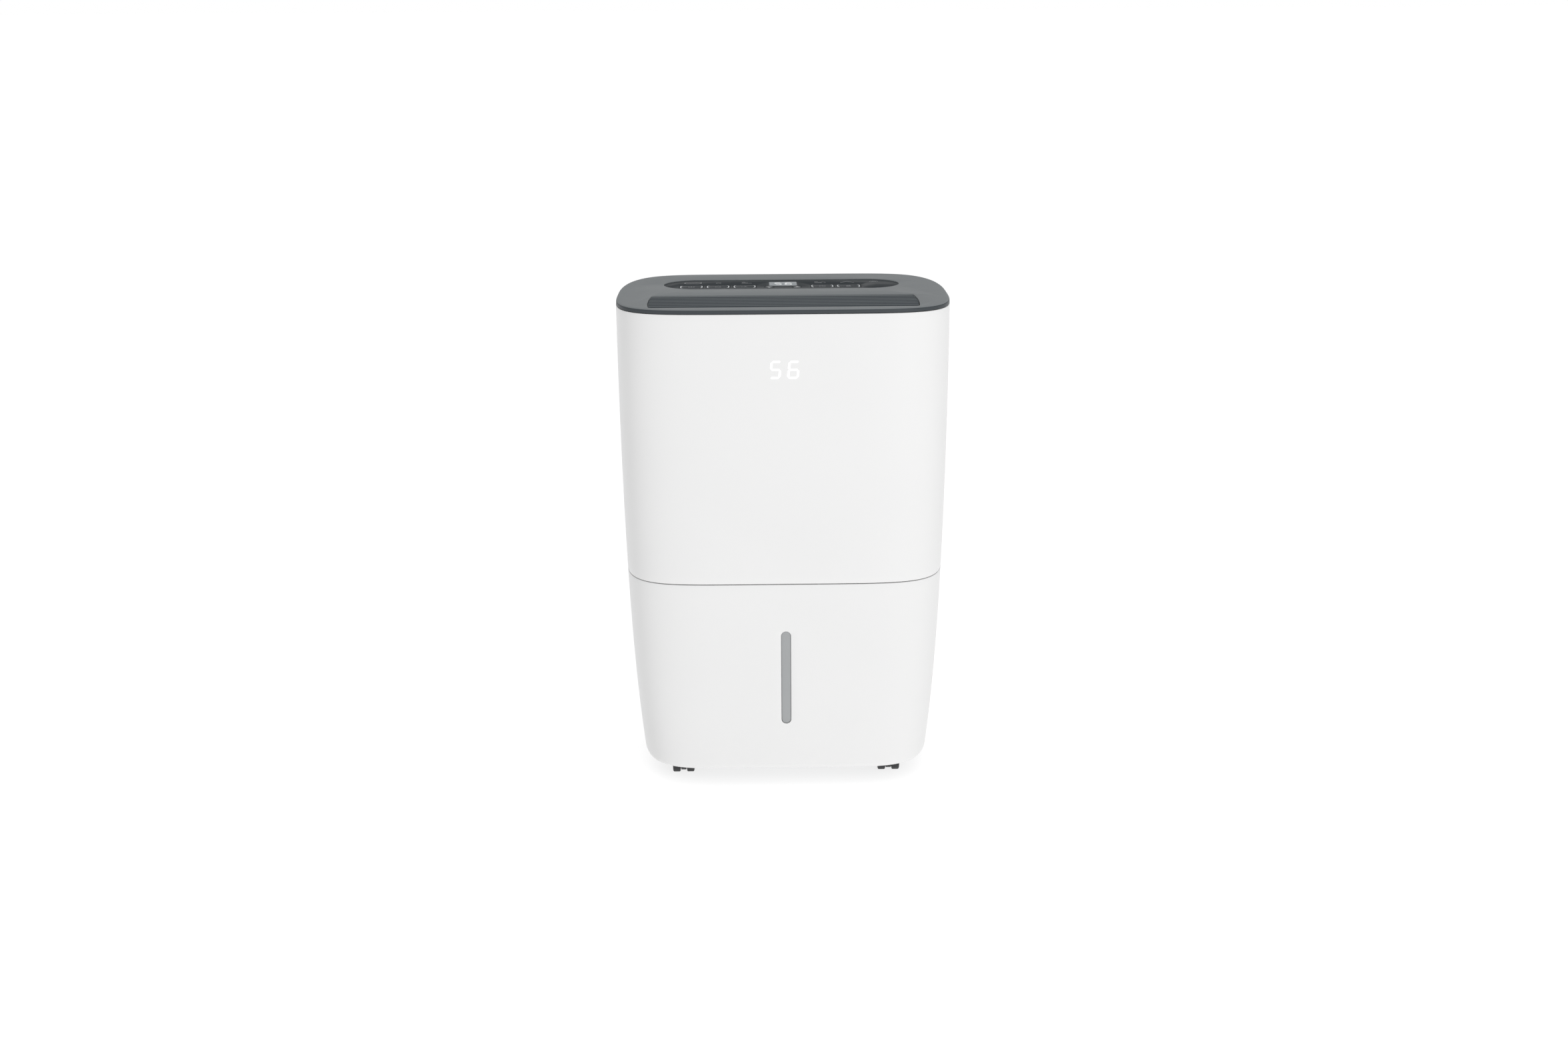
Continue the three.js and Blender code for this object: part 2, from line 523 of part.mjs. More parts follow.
piece("run_capacitor", add(rod("z", 19, 243.4, 306, -94, 22, 24), rod("z", 5, 305, 312, -100, 22, 8), rod("z", 5, 305, 312, -88, 22, 8)), 0xd8d9d6, 0.4);
piece("humidity_sensor", add(box(-140, -129, 104, 108, 392, 416), box(-138, -131, 107.5, 112, 397, 411)), 0xe6e6e2, 0.6);
piece("bucket_switch", add(box(96, 118, -12.6, -9, 150, 164), box(99, 113, -14, -12, 160, 163)), 0x202224, 0.5);
piece("cord_gland", add(rod("y", 7.1, 112, 129.4, -106, 62, 20), rod("y", 10.5, 108, 115, -106, 62, 20)), BLACK, 0.6);

// ------------------------------------------------------------------ rear cassette and drain cap
{
  let s = stack([[240, 0.3], [310, 0.3], [400, 0.3], [480, 0.3]]).intersect(
    box(-INLET.x + 0.5, INLET.x - 0.5, 119.9, 135, INLET.z0 + 0.5, INLET.z1 - 0.5),
  );
  s = cut(s, stack([[240, 3.6], [310, 3.6], [400, 3.6], [480, 3.6]]).intersect(box(-114, 114, 100, 140, 260, 464)));
  const n = 10, p = 204 / n;
  for (let i = 0; i < n; i++) {
    const z = 260 + (i + 0.5) * p;
    for (const [a, b] of [[-112, -2], [2, 112]]) s = cut(s, box(a, b, 119, 140, z - p / 2 + 2.4, z + p / 2 - 2.4));
  }
  piece("rear_grille", s, 0xe9e9e7, 0.45);
}
{
  const holes = [];
  let s = box(-119.5, 119.5, 115.2, 119.5, 255, 469);
  const nx = 6, nz = 5, ww = 228 / nx, hh = 204 / nz;
  for (let i = 0; i < nx; i++)
    for (let j = 0; j < nz; j++)
      holes.push(box(-114 + i * ww + 0.9, -114 + (i + 1) * ww - 0.9, 110, 125, 260 + j * hh + 0.9, 260 + (j + 1) * hh - 0.9));
  s = cut(s, add(...holes));
  piece("filter_mesh", s, 0x3c4042, 0.8);
}
piece("drain_cap", add(rod("y", 11.5, 124.4, 128.6, 90, 150, 24), rod("y", 7.9, 112, 125, 90, 150, 20)), DARK, 0.6);

// ------------------------------------------------------------------ tank
{
  const pill = (dx) => {
    const p = [], r = WINDOW.x + dx;
    for (let i = 0; i <= 8; i++) {
      const a = (i / 8) * Math.PI;
      p.push([r * Math.cos(a), WINDOW.z1 - WINDOW.x + r * Math.sin(a)]);
    }
    for (let i = 0; i <= 8; i++) {
      const a = Math.PI + (i / 8) * Math.PI;
      p.push([r * Math.cos(a), WINDOW.z0 + WINDOW.x + r * Math.sin(a)]);
    }
    return p;
  };
  let s = outerLow.intersect(frontHalf(BASE_Z, SEAM_Z - GAP));
  s = cut(s, inner(WALL, 0, 300));
  s = cut(s, wallSlab(pill(0), -200, -100));
  piece("tank_front", s, WHITE, 0.38);

  const win = cut(
    stack([[60, 1.2], [95, 1.2], [140, 1.2], [190, 1.2]]),
    stack([[50, 2.9], [95, 2.9], [140, 2.9], [200, 2.9]]),
  ).intersect(wallSlab(pill(-0.35), -200, -100));
  piece("tank_window", win, 0x9da2a4, 0.2);

  const lv = [80, 150];
  const body = stack([[TANK.z0, TANK.inset + 6, 40], [TANK.z0 + 6, TANK.inset + 0.5, 44], ...lv.map((z) => [z, TANK.inset]), [TANK.z1, TANK.inset]]).intersect(
    box(-200, 200, -200, TANK.y1, 0, 300),
  );
  const hollow = stack([
    [TANK.z0 + TANK.wall, TANK.inset + 7.8, 42],
    [TANK.z0 + TANK.wall + 5, TANK.inset + TANK.wall + 0.6, 46],
    ...lv.map((z) => [z, TANK.inset + TANK.wall]),
    [200, TANK.inset + TANK.wall, 200],
  ]).intersect(box(-200, 200, -200, TANK.y1 - TANK.wall, 0, 300));
  piece("tank_body", cut(body, hollow), 0xb8c2c6, 0.25);

  let lid = stack([[TANK.z1 + GAP, TANK.inset, 196], [TANK.z1 + 3.2, TANK.inset, 199]]).intersect(box(-200, 200, -200, TANK.y1, 0, 300));
  // lugs the handle turns in
  for (const e of [-1, 1]) lid = lid.add(box(e * 133 - 2.5, e * 133 + 2.5, HANDLE.y - 7, HANDLE.y + 7, TANK.z1 + 1, HANDLE.z + 6));
  for (const e of [-1, 1]) lid = cut(lid, rod("x", 2.9, e * 133 - 8, e * 133 + 8, HANDLE.y, HANDLE.z, 12));
  lid = cut(lid, box(-36, 36, -48, -20, 180, 230), box(-142, -100, -42, -20, 180, 230), rod("z", 3.8, 180, 230, FLOAT.x, FLOAT.y, 8));
  piece("tank_cover", lid, 0xdadcdb, 0.45);

  // Bail handle, lying flat to the front.
  const h = HANDLE;
  let bail = add(
    pipe([[-h.x, h.y, h.z], [-h.x, h.y - h.arm * 0.55, h.z], [-h.x + 3, h.y - h.arm * 0.84, h.z], [-h.x + 14, h.y - h.arm, h.z], [-60, h.y - h.arm, h.z], [60, h.y - h.arm, h.z], [h.x - 14, h.y - h.arm, h.z], [h.x - 3, h.y - h.arm * 0.84, h.z], [h.x, h.y - h.arm * 0.55, h.z], [h.x, h.y, h.z]], h.r, 24, 7),
    rod("x", 6, -h.x - 4, -h.x + 4, h.y, h.z, 10),
    rod("x", 6, h.x - 4, h.x + 4, h.y, h.z, 10),
    rod("x", 2.5, -h.x - 11, -h.x, h.y, h.z, 12),
    rod("x", 2.5, h.x, h.x + 11, h.y, h.z, 12),
  );
  piece("tank_handle", bail, PLASTICGREY, 0.45);

  piece("tank_float", add(box(FLOAT.x - 20, FLOAT.x + 20, FLOAT.y - 14, FLOAT.y + 12, FLOAT.z0, FLOAT.z1), rod("z", 3.2, FLOAT.z1 - 1, 214, FLOAT.x, FLOAT.y, 12)), 0xe2ddd0, 0.6);
}

// ------------------------------------------------------------------ casters
for (const [tag, x, y, dir] of casters) {
  const yw = y + dir * CASTER.trail, zc = CASTER.r;
  const back = y - dir * 14, nose = yw + dir * 10;
  // hood: crown over the wheels, middle web, stem
  let s = wallSlab([[-12.6, 19.5], [-8.6, 27.4], [8.6, 27.4], [12.6, 19.5], [12.6, 17], [-12.6, 17]].reverse().map(([a, b]) => [a + x, b]), Math.min(back, nose), Math.max(back, nose));
  s = cut(s, rod("x", 13.4, x - 20, x - 2.9, yw, zc, 16), rod("x", 13.4, x + 2.9, x + 20, yw, zc, 16));
  s = s.add(rod("x", 11, x - 2.8, x + 2.8, yw, zc + 1.2, 12).intersect(box(x - 5, x + 5, yw - 20, yw + 20, 2, 30)));
  s = s.add(box(x - 2.8, x + 2.8, Math.min(y - dir * 8, yw), Math.max(y - dir * 8, yw), 14, 22));
  s = s.add(rod("z", CASTER.stem, 26, 33, x, y, 8), rod("z", 7, 26, 28.4, x, y, 12));
  s = cut(s, rod("x", 2.7, x - 20, x + 20, yw, zc, 8));
  piece("caster_hood_" + tag, s, BLACK, 0.5);
  // twin wheel on its axle; each tread rests on a flat contact patch
  const tread = CASTER.r / Math.cos(Math.PI / 24);
  const w = add(rod("x", tread, -11.6, -3.6, 0, 0, 24), rod("x", tread, 3.6, 11.6, 0, 0, 24), rod("x", 2.2, -6, 6, 0, 0, 8))
    .rotate([7.5, 0, 0])
    .translate([x, yw, zc]);
  piece("caster_wheel_" + tag, w, 0x232427, 0.7);
}

export default group;
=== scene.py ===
import math

import bmesh
import bpy
import numpy as np
from mathutils import Matrix, Vector


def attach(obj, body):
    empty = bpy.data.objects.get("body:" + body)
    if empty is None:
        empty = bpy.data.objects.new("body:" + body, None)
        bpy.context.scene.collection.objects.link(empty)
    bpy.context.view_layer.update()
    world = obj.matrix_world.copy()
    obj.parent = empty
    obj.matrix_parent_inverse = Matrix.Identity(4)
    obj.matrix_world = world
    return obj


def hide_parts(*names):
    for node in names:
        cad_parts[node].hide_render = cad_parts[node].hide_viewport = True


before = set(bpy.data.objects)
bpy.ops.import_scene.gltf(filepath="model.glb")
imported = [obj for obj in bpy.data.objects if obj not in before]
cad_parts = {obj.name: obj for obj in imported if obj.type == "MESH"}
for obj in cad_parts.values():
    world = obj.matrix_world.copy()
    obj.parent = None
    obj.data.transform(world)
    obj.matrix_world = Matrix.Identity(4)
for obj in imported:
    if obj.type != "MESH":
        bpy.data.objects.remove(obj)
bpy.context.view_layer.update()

MM = 0.001

# ------------------------------------------------------------------ shared dimensions, millimetres
HW, HD = 175.0, 130.0
EX, EY = (6.1, 7.5), (3.8, 2.2)  # plan outline exponents, front half and rear half
TOP, TOP_SEAM, SEAM, BASE, SPLIT = 516.0, 511.2, 226.8, 18.8, -10.0
PANEL_CX, PANEL_R, PANEL_CY = 93.0, 35.0, 49.0
KEYS = [
    ("key_power", -111, -85, 25, 44),
    ("key_mode", -82, -56, 25, 44),
    ("key_fan", -53, -27.5, 25, 44),
    ("key_timer", 31.5, 57, 25, 44),
    ("key_lock", 59.5, 86, 25, 44),
    ("key_down", -18.5, -8.5, 25, 34),
    ("key_up", 11.7, 21.7, 25, 34),
]
DISPLAY = (-13.5, 17.0, 40.0, 69.5)
LOUVRE = dict(x=139.5, y0=-114.0, y1=-33.0, bulge=2.5, r=4.0)


def drop(z):
    return (511 - min(z, 511)) / 511


def half_w(z):
    t = drop(z)
    return HW - 14.8 * t * t - 7.4 * t**6


def half_f(z):
    return HD - 3 * drop(z) ** 2.2


def outline(phis, z, inset=0.0):
    """Plan outline points (x, y) at polar angles phis."""
    a, bf, bb = half_w(z) - inset, half_f(z) - inset, HD - inset
    c, s = np.cos(phis), np.sin(phis)
    b = np.where(s < 0, bf, bb)
    ex, ey = np.where(s < 0, EX[0], EX[1]), np.where(s < 0, EY[0], EY[1])
    lo, hi = np.zeros_like(phis), np.full_like(phis, 260.0)
    for _ in range(44):
        m = (lo + hi) / 2
        f = (m * np.abs(c) / a) ** ex + (m * np.abs(s) / b) ** ey
        lo, hi = np.where(f < 1, m, lo), np.where(f < 1, hi, m)
    r = (lo + hi) / 2
    return r * c, r * s


def spread(p0, p1, n, z=300.0, turn_weight=0.35):
    """n polar angles from p0 to p1, closer together where the outline turns."""
    t = np.linspace(p0, p1, 6001)
    x, y = outline(t, z)
    dx, dy = np.diff(x), np.diff(y)
    ang = np.unwrap(np.arctan2(dy, dx))
    w = np.hypot(dx, dy) / 1000 + np.abs(np.diff(ang, append=ang[-1])) * turn_weight
    s = np.concatenate([[0], np.cumsum(w)])
    return np.interp(np.linspace(0, s[-1], n), s, t)


# ------------------------------------------------------------------ mesh helpers
def mesh_object(name, verts, faces):
    me = bpy.data.meshes.new(name)
    me.from_pydata([tuple(float(c) * MM for c in v) for v in verts], [], faces)
    me.validate()
    o = bpy.data.objects.new(name, me)
    bpy.context.scene.collection.objects.link(o)
    return o


def bake(o):
    """Applies the modifiers of o."""
    bpy.context.view_layer.update()
    dg = bpy.context.evaluated_depsgraph_get()
    me = bpy.data.meshes.new_from_object(o.evaluated_get(dg))
    o.modifiers.clear()
    old = o.data
    o.data = me
    bpy.data.meshes.remove(old)
    return o


def smooth(o, deg=32):
    bm = bmesh.new()
    bm.from_mesh(o.data)
    lim = math.radians(deg)
    for f in bm.faces:
        f.smooth = True
    for e in bm.edges:
        e.smooth = not (len(e.link_faces) == 2 and e.calc_face_angle(0) > lim)
    bm.to_mesh(o.data)
    bm.free()
    return o


def tidy(o, dist=0.01):
    bm = bmesh.new()
    bm.from_mesh(o.data)
    bmesh.ops.remove_doubles(bm, verts=bm.verts, dist=dist * MM)
    bmesh.ops.recalc_face_normals(bm, faces=bm.faces)
    bm.to_mesh(o.data)
    bm.free()
    return o


def bevel(o, width, segments=2, angle=40, apply=True, harden=False):
    m = o.modifiers.new("bevel", "BEVEL")
    m.width = width * MM
    m.segments = segments
    m.limit_method = "ANGLE"
    m.angle_limit = math.radians(angle)
    m.use_clamp_overlap = True
    m.miter_outer = "MITER_ARC"
    if apply:
        bake(o)
    return o


def boolean(o, cutters, op="DIFFERENCE"):
    for c in cutters if isinstance(cutters, (list, tuple)) else [cutters]:
        m = o.modifiers.new("cut", "BOOLEAN")
        m.operation = op
        m.solver = "EXACT"
        m.object = c
        bake(o)
        me = c.data
        bpy.data.objects.remove(c)
        bpy.data.meshes.remove(me)
    return o


def prism(name, pts, z0, z1, axis="z"):
    """Closed prism; pts are (x, y) for axis z, (x, z) for axis y and (y, z) for axis x."""
    n = len(pts)
    def at(u, v, w):
        return {"z": (u, v, w), "y": (u, w, v), "x": (w, u, v)}[axis]
    verts = [at(u, v, z0) for u, v in pts] + [at(u, v, z1) for u, v in pts]
    faces = [list(range(n))[::-1], list(range(n, 2 * n))]
    faces += [[i, (i + 1) % n, n + (i + 1) % n, n + i] for i in range(n)]
    return tidy(mesh_object(name, verts, faces), 0.0005)


def box(name, x0, x1, y0, y1, z0, z1):
    return prism(name, [(x0, y0), (x1, y0), (x1, y1), (x0, y1)], z0, z1)


def circle(r, cx=0.0, cy=0.0, n=48, a0=0.0, a1=2 * math.pi, close=False):
    k = n if not close else n + 1
    return [(cx + r * math.cos(a0 + (a1 - a0) * i / n), cy + r * math.sin(a0 + (a1 - a0) * i / n)) for i in range(k)]


def round_rect(x0, x1, y0, y1, r, seg=6):
    p = []
    for cx, cy, a0 in ((x1 - r, y0 + r, -0.5), (x1 - r, y1 - r, 0), (x0 + r, y1 - r, 0.5), (x0 + r, y0 + r, 1)):
        p += [(cx + r * math.cos((a0 + 0.5 * i / seg) * math.pi), cy + r * math.sin((a0 + 0.5 * i / seg) * math.pi)) for i in range(seg + 1)]
    return p


def stadium(cx, r, cy, seg=40):
    p = [(cx + r * math.cos(-math.pi / 2 + math.pi * i / seg), cy + r * math.sin(-math.pi / 2 + math.pi * i / seg)) for i in range(seg + 1)]
    p += [(-cx + r * math.cos(math.pi / 2 + math.pi * i / seg), cy + r * math.sin(math.pi / 2 + math.pi * i / seg)) for i in range(seg + 1)]
    return p


def louvre_shape(grow, seg=40):
    """Louvre outline: straight front and back, ends that swell a little, small corners."""
    X, Y0, Y1 = LOUVRE["x"] + grow, LOUVRE["y0"] - grow, LOUVRE["y1"] + grow
    yc, h, b, r = (Y0 + Y1) / 2, (Y1 - Y0) / 2, LOUVRE["bulge"], LOUVRE["r"]
    end = []
    for i in range(seg + 1):
        t = -1 + 2 * i / seg
        yy = yc + h * math.copysign(1 - (1 - abs(t)) ** 1.6, t)
        u = abs(yy - yc) / h
        k = max(0.0, (u * h - (h - r)) / r)
        end.append((X - b * u * u - r * (1 - math.sqrt(max(0, 1 - k * k))), yy))
    return end + [(-x, y) for x, y in reversed(end)]


def lathe(name, profile, cx, cy, n=64, axis="z"):
    """Closed turned body; the profile is (r, height) from axis to axis."""
    verts, faces = [], []
    rows = []
    for r, h in profile:
        if r < 1e-6:
            rows.append([len(verts)])
            verts.append((0, 0, h))
        else:
            rows.append(list(range(len(verts), len(verts) + n)))
            verts += [(r * math.cos(2 * math.pi * i / n), r * math.sin(2 * math.pi * i / n), h) for i in range(n)]
    for a, b in zip(rows, rows[1:]):
        for i in range(n):
            j = (i + 1) % n
            if len(a) == 1 and len(b) == 1:
                continue
            if len(a) == 1:
                faces.append([a[0], b[i], b[j]])
            elif len(b) == 1:
                faces.append([a[i], a[j], b[0]])
            else:
                faces.append([a[i], a[j], b[j], b[i]])
    if axis == "y":
        verts = [(x + cx, z, y + cy) for x, y, z in verts]
    elif axis == "x":
        verts = [(z, x + cx, y + cy) for x, y, z in verts]
    else:
        verts = [(x + cx, y + cy, z) for x, y, z in verts]
    return tidy(mesh_object(name, verts, faces), 0.0005)


def tube(name, pts, r, n=16, caps=True, closed=False):
    """Round tube along a polyline given in millimetres."""
    P = [Vector(p) for p in pts]
    m = len(P)
    verts, faces = [], []
    t0 = (P[1] - P[0]).normalized()
    up = Vector((0, 0, 1)) if abs(t0.z) < 0.9 else Vector((1, 0, 0))
    u = t0.cross(up).normalized()
    for i in range(m):
        a = P[i - 1] if i > 0 or closed else P[i]
        b = P[(i + 1) % m] if i < m - 1 or closed else P[i]
        t = (b - a).normalized()
        u = (u - t * u.dot(t)).normalized()
        v = t.cross(u)
        rr = r[i] if isinstance(r, (list, tuple)) else r
        verts += [tuple(P[i] + (u * math.cos(2 * math.pi * k / n) + v * math.sin(2 * math.pi * k / n)) * rr) for k in range(n)]
    for i in range(m if closed else m - 1):
        for k in range(n):
            q = (k + 1) % n
            j = (i + 1) % m
            faces.append([i * n + k, i * n + q, j * n + q, j * n + k])
    if caps and not closed:
        faces += [list(range(n))[::-1], list(range((m - 1) * n, m * n))]
    return tidy(mesh_object(name, verts, faces), 0.0005)


def spline(points, n=12):
    """Catmull-Rom through points, centripetal."""
    P = [Vector(p) for p in points]
    P = [P[0] * 2 - P[1]] + P + [P[-1] * 2 - P[-2]]
    out = []
    for i in range(1, len(P) - 2):
        p0, p1, p2, p3 = P[i - 1 : i + 3]
        t0 = 0.0
        t1 = t0 + max((p1 - p0).length, 1e-6) ** 0.5
        t2 = t1 + max((p2 - p1).length, 1e-6) ** 0.5
        t3 = t2 + max((p3 - p2).length, 1e-6) ** 0.5
        for k in range(n):
            t = t1 + (t2 - t1) * k / n
            a1 = p0 * ((t1 - t) / (t1 - t0)) + p1 * ((t - t0) / (t1 - t0))
            a2 = p1 * ((t2 - t) / (t2 - t1)) + p2 * ((t - t1) / (t2 - t1))
            a3 = p2 * ((t3 - t) / (t3 - t2)) + p3 * ((t - t2) / (t3 - t2))
            b1 = a1 * ((t2 - t) / (t2 - t0)) + a2 * ((t - t0) / (t2 - t0))
            b2 = a2 * ((t3 - t) / (t3 - t1)) + a3 * ((t - t1) / (t3 - t1))
            out.append(tuple(b1 * ((t2 - t) / (t2 - t1)) + b2 * ((t - t1) / (t2 - t1))))
    out.append(tuple(P[-2]))
    return out


def join(name, objs):
    """One object from several, keeping each mesh as it is."""
    bm = bmesh.new()
    for o in objs:
        bm.from_mesh(o.data)
        me = o.data
        bpy.data.objects.remove(o)
        bpy.data.meshes.remove(me)
    me = bpy.data.meshes.new(name)
    bm.to_mesh(me)
    bm.free()
    o = bpy.data.objects.new(name, me)
    bpy.context.scene.collection.objects.link(o)
    return o


def shell(name, p0, p1, n, levels, thick, zp=None, closed=False, inner_levels=None):
    """Wall between the outline and the same outline set in by thick.
    levels are (z, inset, profile z). An open arc runs from polar angle p0 to p1 and gets end faces."""
    base = spread(p0, p1, n)
    if closed:
        base = base[:-1]
    k = len(base)
    verts = []
    for side in (0, 1):
        for z, ins, pz in levels:
            a, b = p0, p1
            if not closed:
                aw = half_w(pz) - ins
                y_end = END_Y[name]
                if p0 < 0 and p1 <= 0:  # front arc, from the left side to the right one
                    b = -math.atan2(-y_end, aw)
                    a = -math.pi - b
                else:
                    a = -math.atan2(-y_end, aw)
                    b = math.pi - a
            phis = a + (base - p0) * (b - a) / (p1 - p0)
            x, y = outline(phis, pz, ins + side * thick)
            if not closed:
                y[0] = y[-1] = END_Y[name]
            verts += [(x[i], y[i], z) for i in range(k)]
    L = len(levels)
    faces = []
    def vid(s, i, j):
        return s * L * k + i * k + j % k
    cols = k if closed else k - 1
    for i in range(L - 1):
        for j in range(cols):
            faces.append([vid(0, i, j), vid(0, i, j + 1), vid(0, i + 1, j + 1), vid(0, i + 1, j)])
            faces.append([vid(1, i, j + 1), vid(1, i, j), vid(1, i + 1, j), vid(1, i + 1, j + 1)])
    for j in range(cols):
        faces.append([vid(0, 0, j + 1), vid(0, 0, j), vid(1, 0, j), vid(1, 0, j + 1)])
        faces.append([vid(0, L - 1, j), vid(0, L - 1, j + 1), vid(1, L - 1, j + 1), vid(1, L - 1, j)])
    if not closed:
        for i in range(L - 1):
            faces.append([vid(0, i, 0), vid(0, i + 1, 0), vid(1, i + 1, 0), vid(1, i, 0)])
            faces.append([vid(0, i + 1, k - 1), vid(0, i, k - 1), vid(1, i, k - 1), vid(1, i + 1, k - 1)])
    return tidy(mesh_object(name, verts, faces), 0.0005)


END_Y = {}
BOTTOM = [(BASE + 6.5 * (1 - math.cos(a)), 3.2 * (1 - math.sin(a)), 20.0) for a in [math.radians(d) for d in (0, 15, 30, 45, 60, 75)]]
BOTTOM = [(z, ins, max(z, 18)) for z, ins, _ in BOTTOM]


# ------------------------------------------------------------------ materials
def material(name):
    m = bpy.data.materials.new(name)
    m.use_nodes = True
    nt = m.node_tree
    return m, nt, nt.nodes["Principled BSDF"]


def coords(nt, scale=1.0):
    tc = nt.nodes.new("ShaderNodeTexCoord")
    mp = nt.nodes.new("ShaderNodeMapping")
    mp.inputs["Scale"].default_value = (scale,) * 3 if isinstance(scale, (int, float)) else scale
    nt.links.new(tc.outputs["Object"], mp.inputs["Vector"])
    return mp.outputs["Vector"]


def noise(nt, vec, scale, detail=3, rough=0.5):
    n = nt.nodes.new("ShaderNodeTexNoise")
    n.inputs["Scale"].default_value = scale
    n.inputs["Detail"].default_value = detail
    n.inputs["Roughness"].default_value = rough
    nt.links.new(vec, n.inputs["Vector"])
    return n.outputs["Fac"]


def ramp(nt, fac, stops):
    r = nt.nodes.new("ShaderNodeValToRGB")
    e = r.color_ramp.elements
    while len(e) < len(stops):
        e.new(0.5)
    for i, (p, c) in enumerate(stops):
        e[i].position = p
        e[i].color = (*c, 1) if len(c) == 3 else c
    nt.links.new(fac, r.inputs["Fac"])
    return r.outputs["Color"]


def remap(nt, fac, a, b):
    r = nt.nodes.new("ShaderNodeMapRange")
    r.inputs["To Min"].default_value = a
    r.inputs["To Max"].default_value = b
    nt.links.new(fac, r.inputs["Value"])
    return r.outputs["Result"]


def bump(nt, bsdf, height, strength, distance, prev=None):
    b = nt.nodes.new("ShaderNodeBump")
    b.inputs["Strength"].default_value = strength
    b.inputs["Distance"].default_value = distance
    nt.links.new(height, b.inputs["Height"])
    if prev is not None:
        nt.links.new(prev, b.inputs["Normal"])
    nt.links.new(b.outputs["Normal"], bsdf.inputs["Normal"])
    return b.outputs["Normal"]


def tint(c, k):
    return tuple(min(1.0, v * k) for v in c)


def plastic(name, color, rough=0.35, spread_c=0.02, grain=0.00003, grain_scale=2600, coat=0.0, wave=0.00004, spec=0.5, rough_var=0.05, ior=1.5):
    """Moulded plastic: slight tone drift, roughness drift, fine texture and a faint long waviness."""
    m, nt, b = material(name)
    v = coords(nt)
    low = noise(nt, v, 9, 3)
    col = ramp(nt, low, [(0.3, tint(color, 1 - spread_c)), (0.7, tint(color, 1 + spread_c))])
    nt.links.new(col, b.inputs["Base Color"])
    rv = noise(nt, v, 34, 4)
    nt.links.new(remap(nt, rv, rough - rough_var, rough + rough_var), b.inputs["Roughness"])
    b.inputs["Specular IOR Level"].default_value = spec
    b.inputs["IOR"].default_value = ior
    if coat:
        b.inputs["Coat Weight"].default_value = coat
        b.inputs["Coat Roughness"].default_value = 0.06
    fine = noise(nt, v, grain_scale, 2)
    n1 = bump(nt, b, fine, 0.35, grain)
    if wave:
        bump(nt, b, noise(nt, v, 5, 1), 0.5, wave, n1)
    return m


def metal(name, color, rough=0.3, brushed=(1, 1, 1), spread_c=0.06, metallic=1.0, bump_d=0.00002):
    m, nt, b = material(name)
    v = coords(nt, brushed)
    n = noise(nt, v, 240, 4, 0.6)
    nt.links.new(ramp(nt, noise(nt, coords(nt), 14, 4), [(0.3, tint(color, 1 - spread_c)), (0.7, tint(color, 1 + spread_c))]), b.inputs["Base Color"])
    nt.links.new(remap(nt, n, rough - 0.08, rough + 0.1), b.inputs["Roughness"])
    b.inputs["Metallic"].default_value = metallic
    bump(nt, b, n, 0.3, bump_d)
    return m


def emitter(name, color, strength, base=(0.8, 0.8, 0.8)):
    m, nt, b = material(name)
    v = coords(nt)
    nt.links.new(ramp(nt, noise(nt, v, 400, 2), [(0.3, tint(base, 0.97)), (0.7, base)]), b.inputs["Base Color"])
    b.inputs["Roughness"].default_value = 0.4
    b.inputs["Emission Color"].default_value = (*color, 1)
    b.inputs["Emission Strength"].default_value = strength
    return m


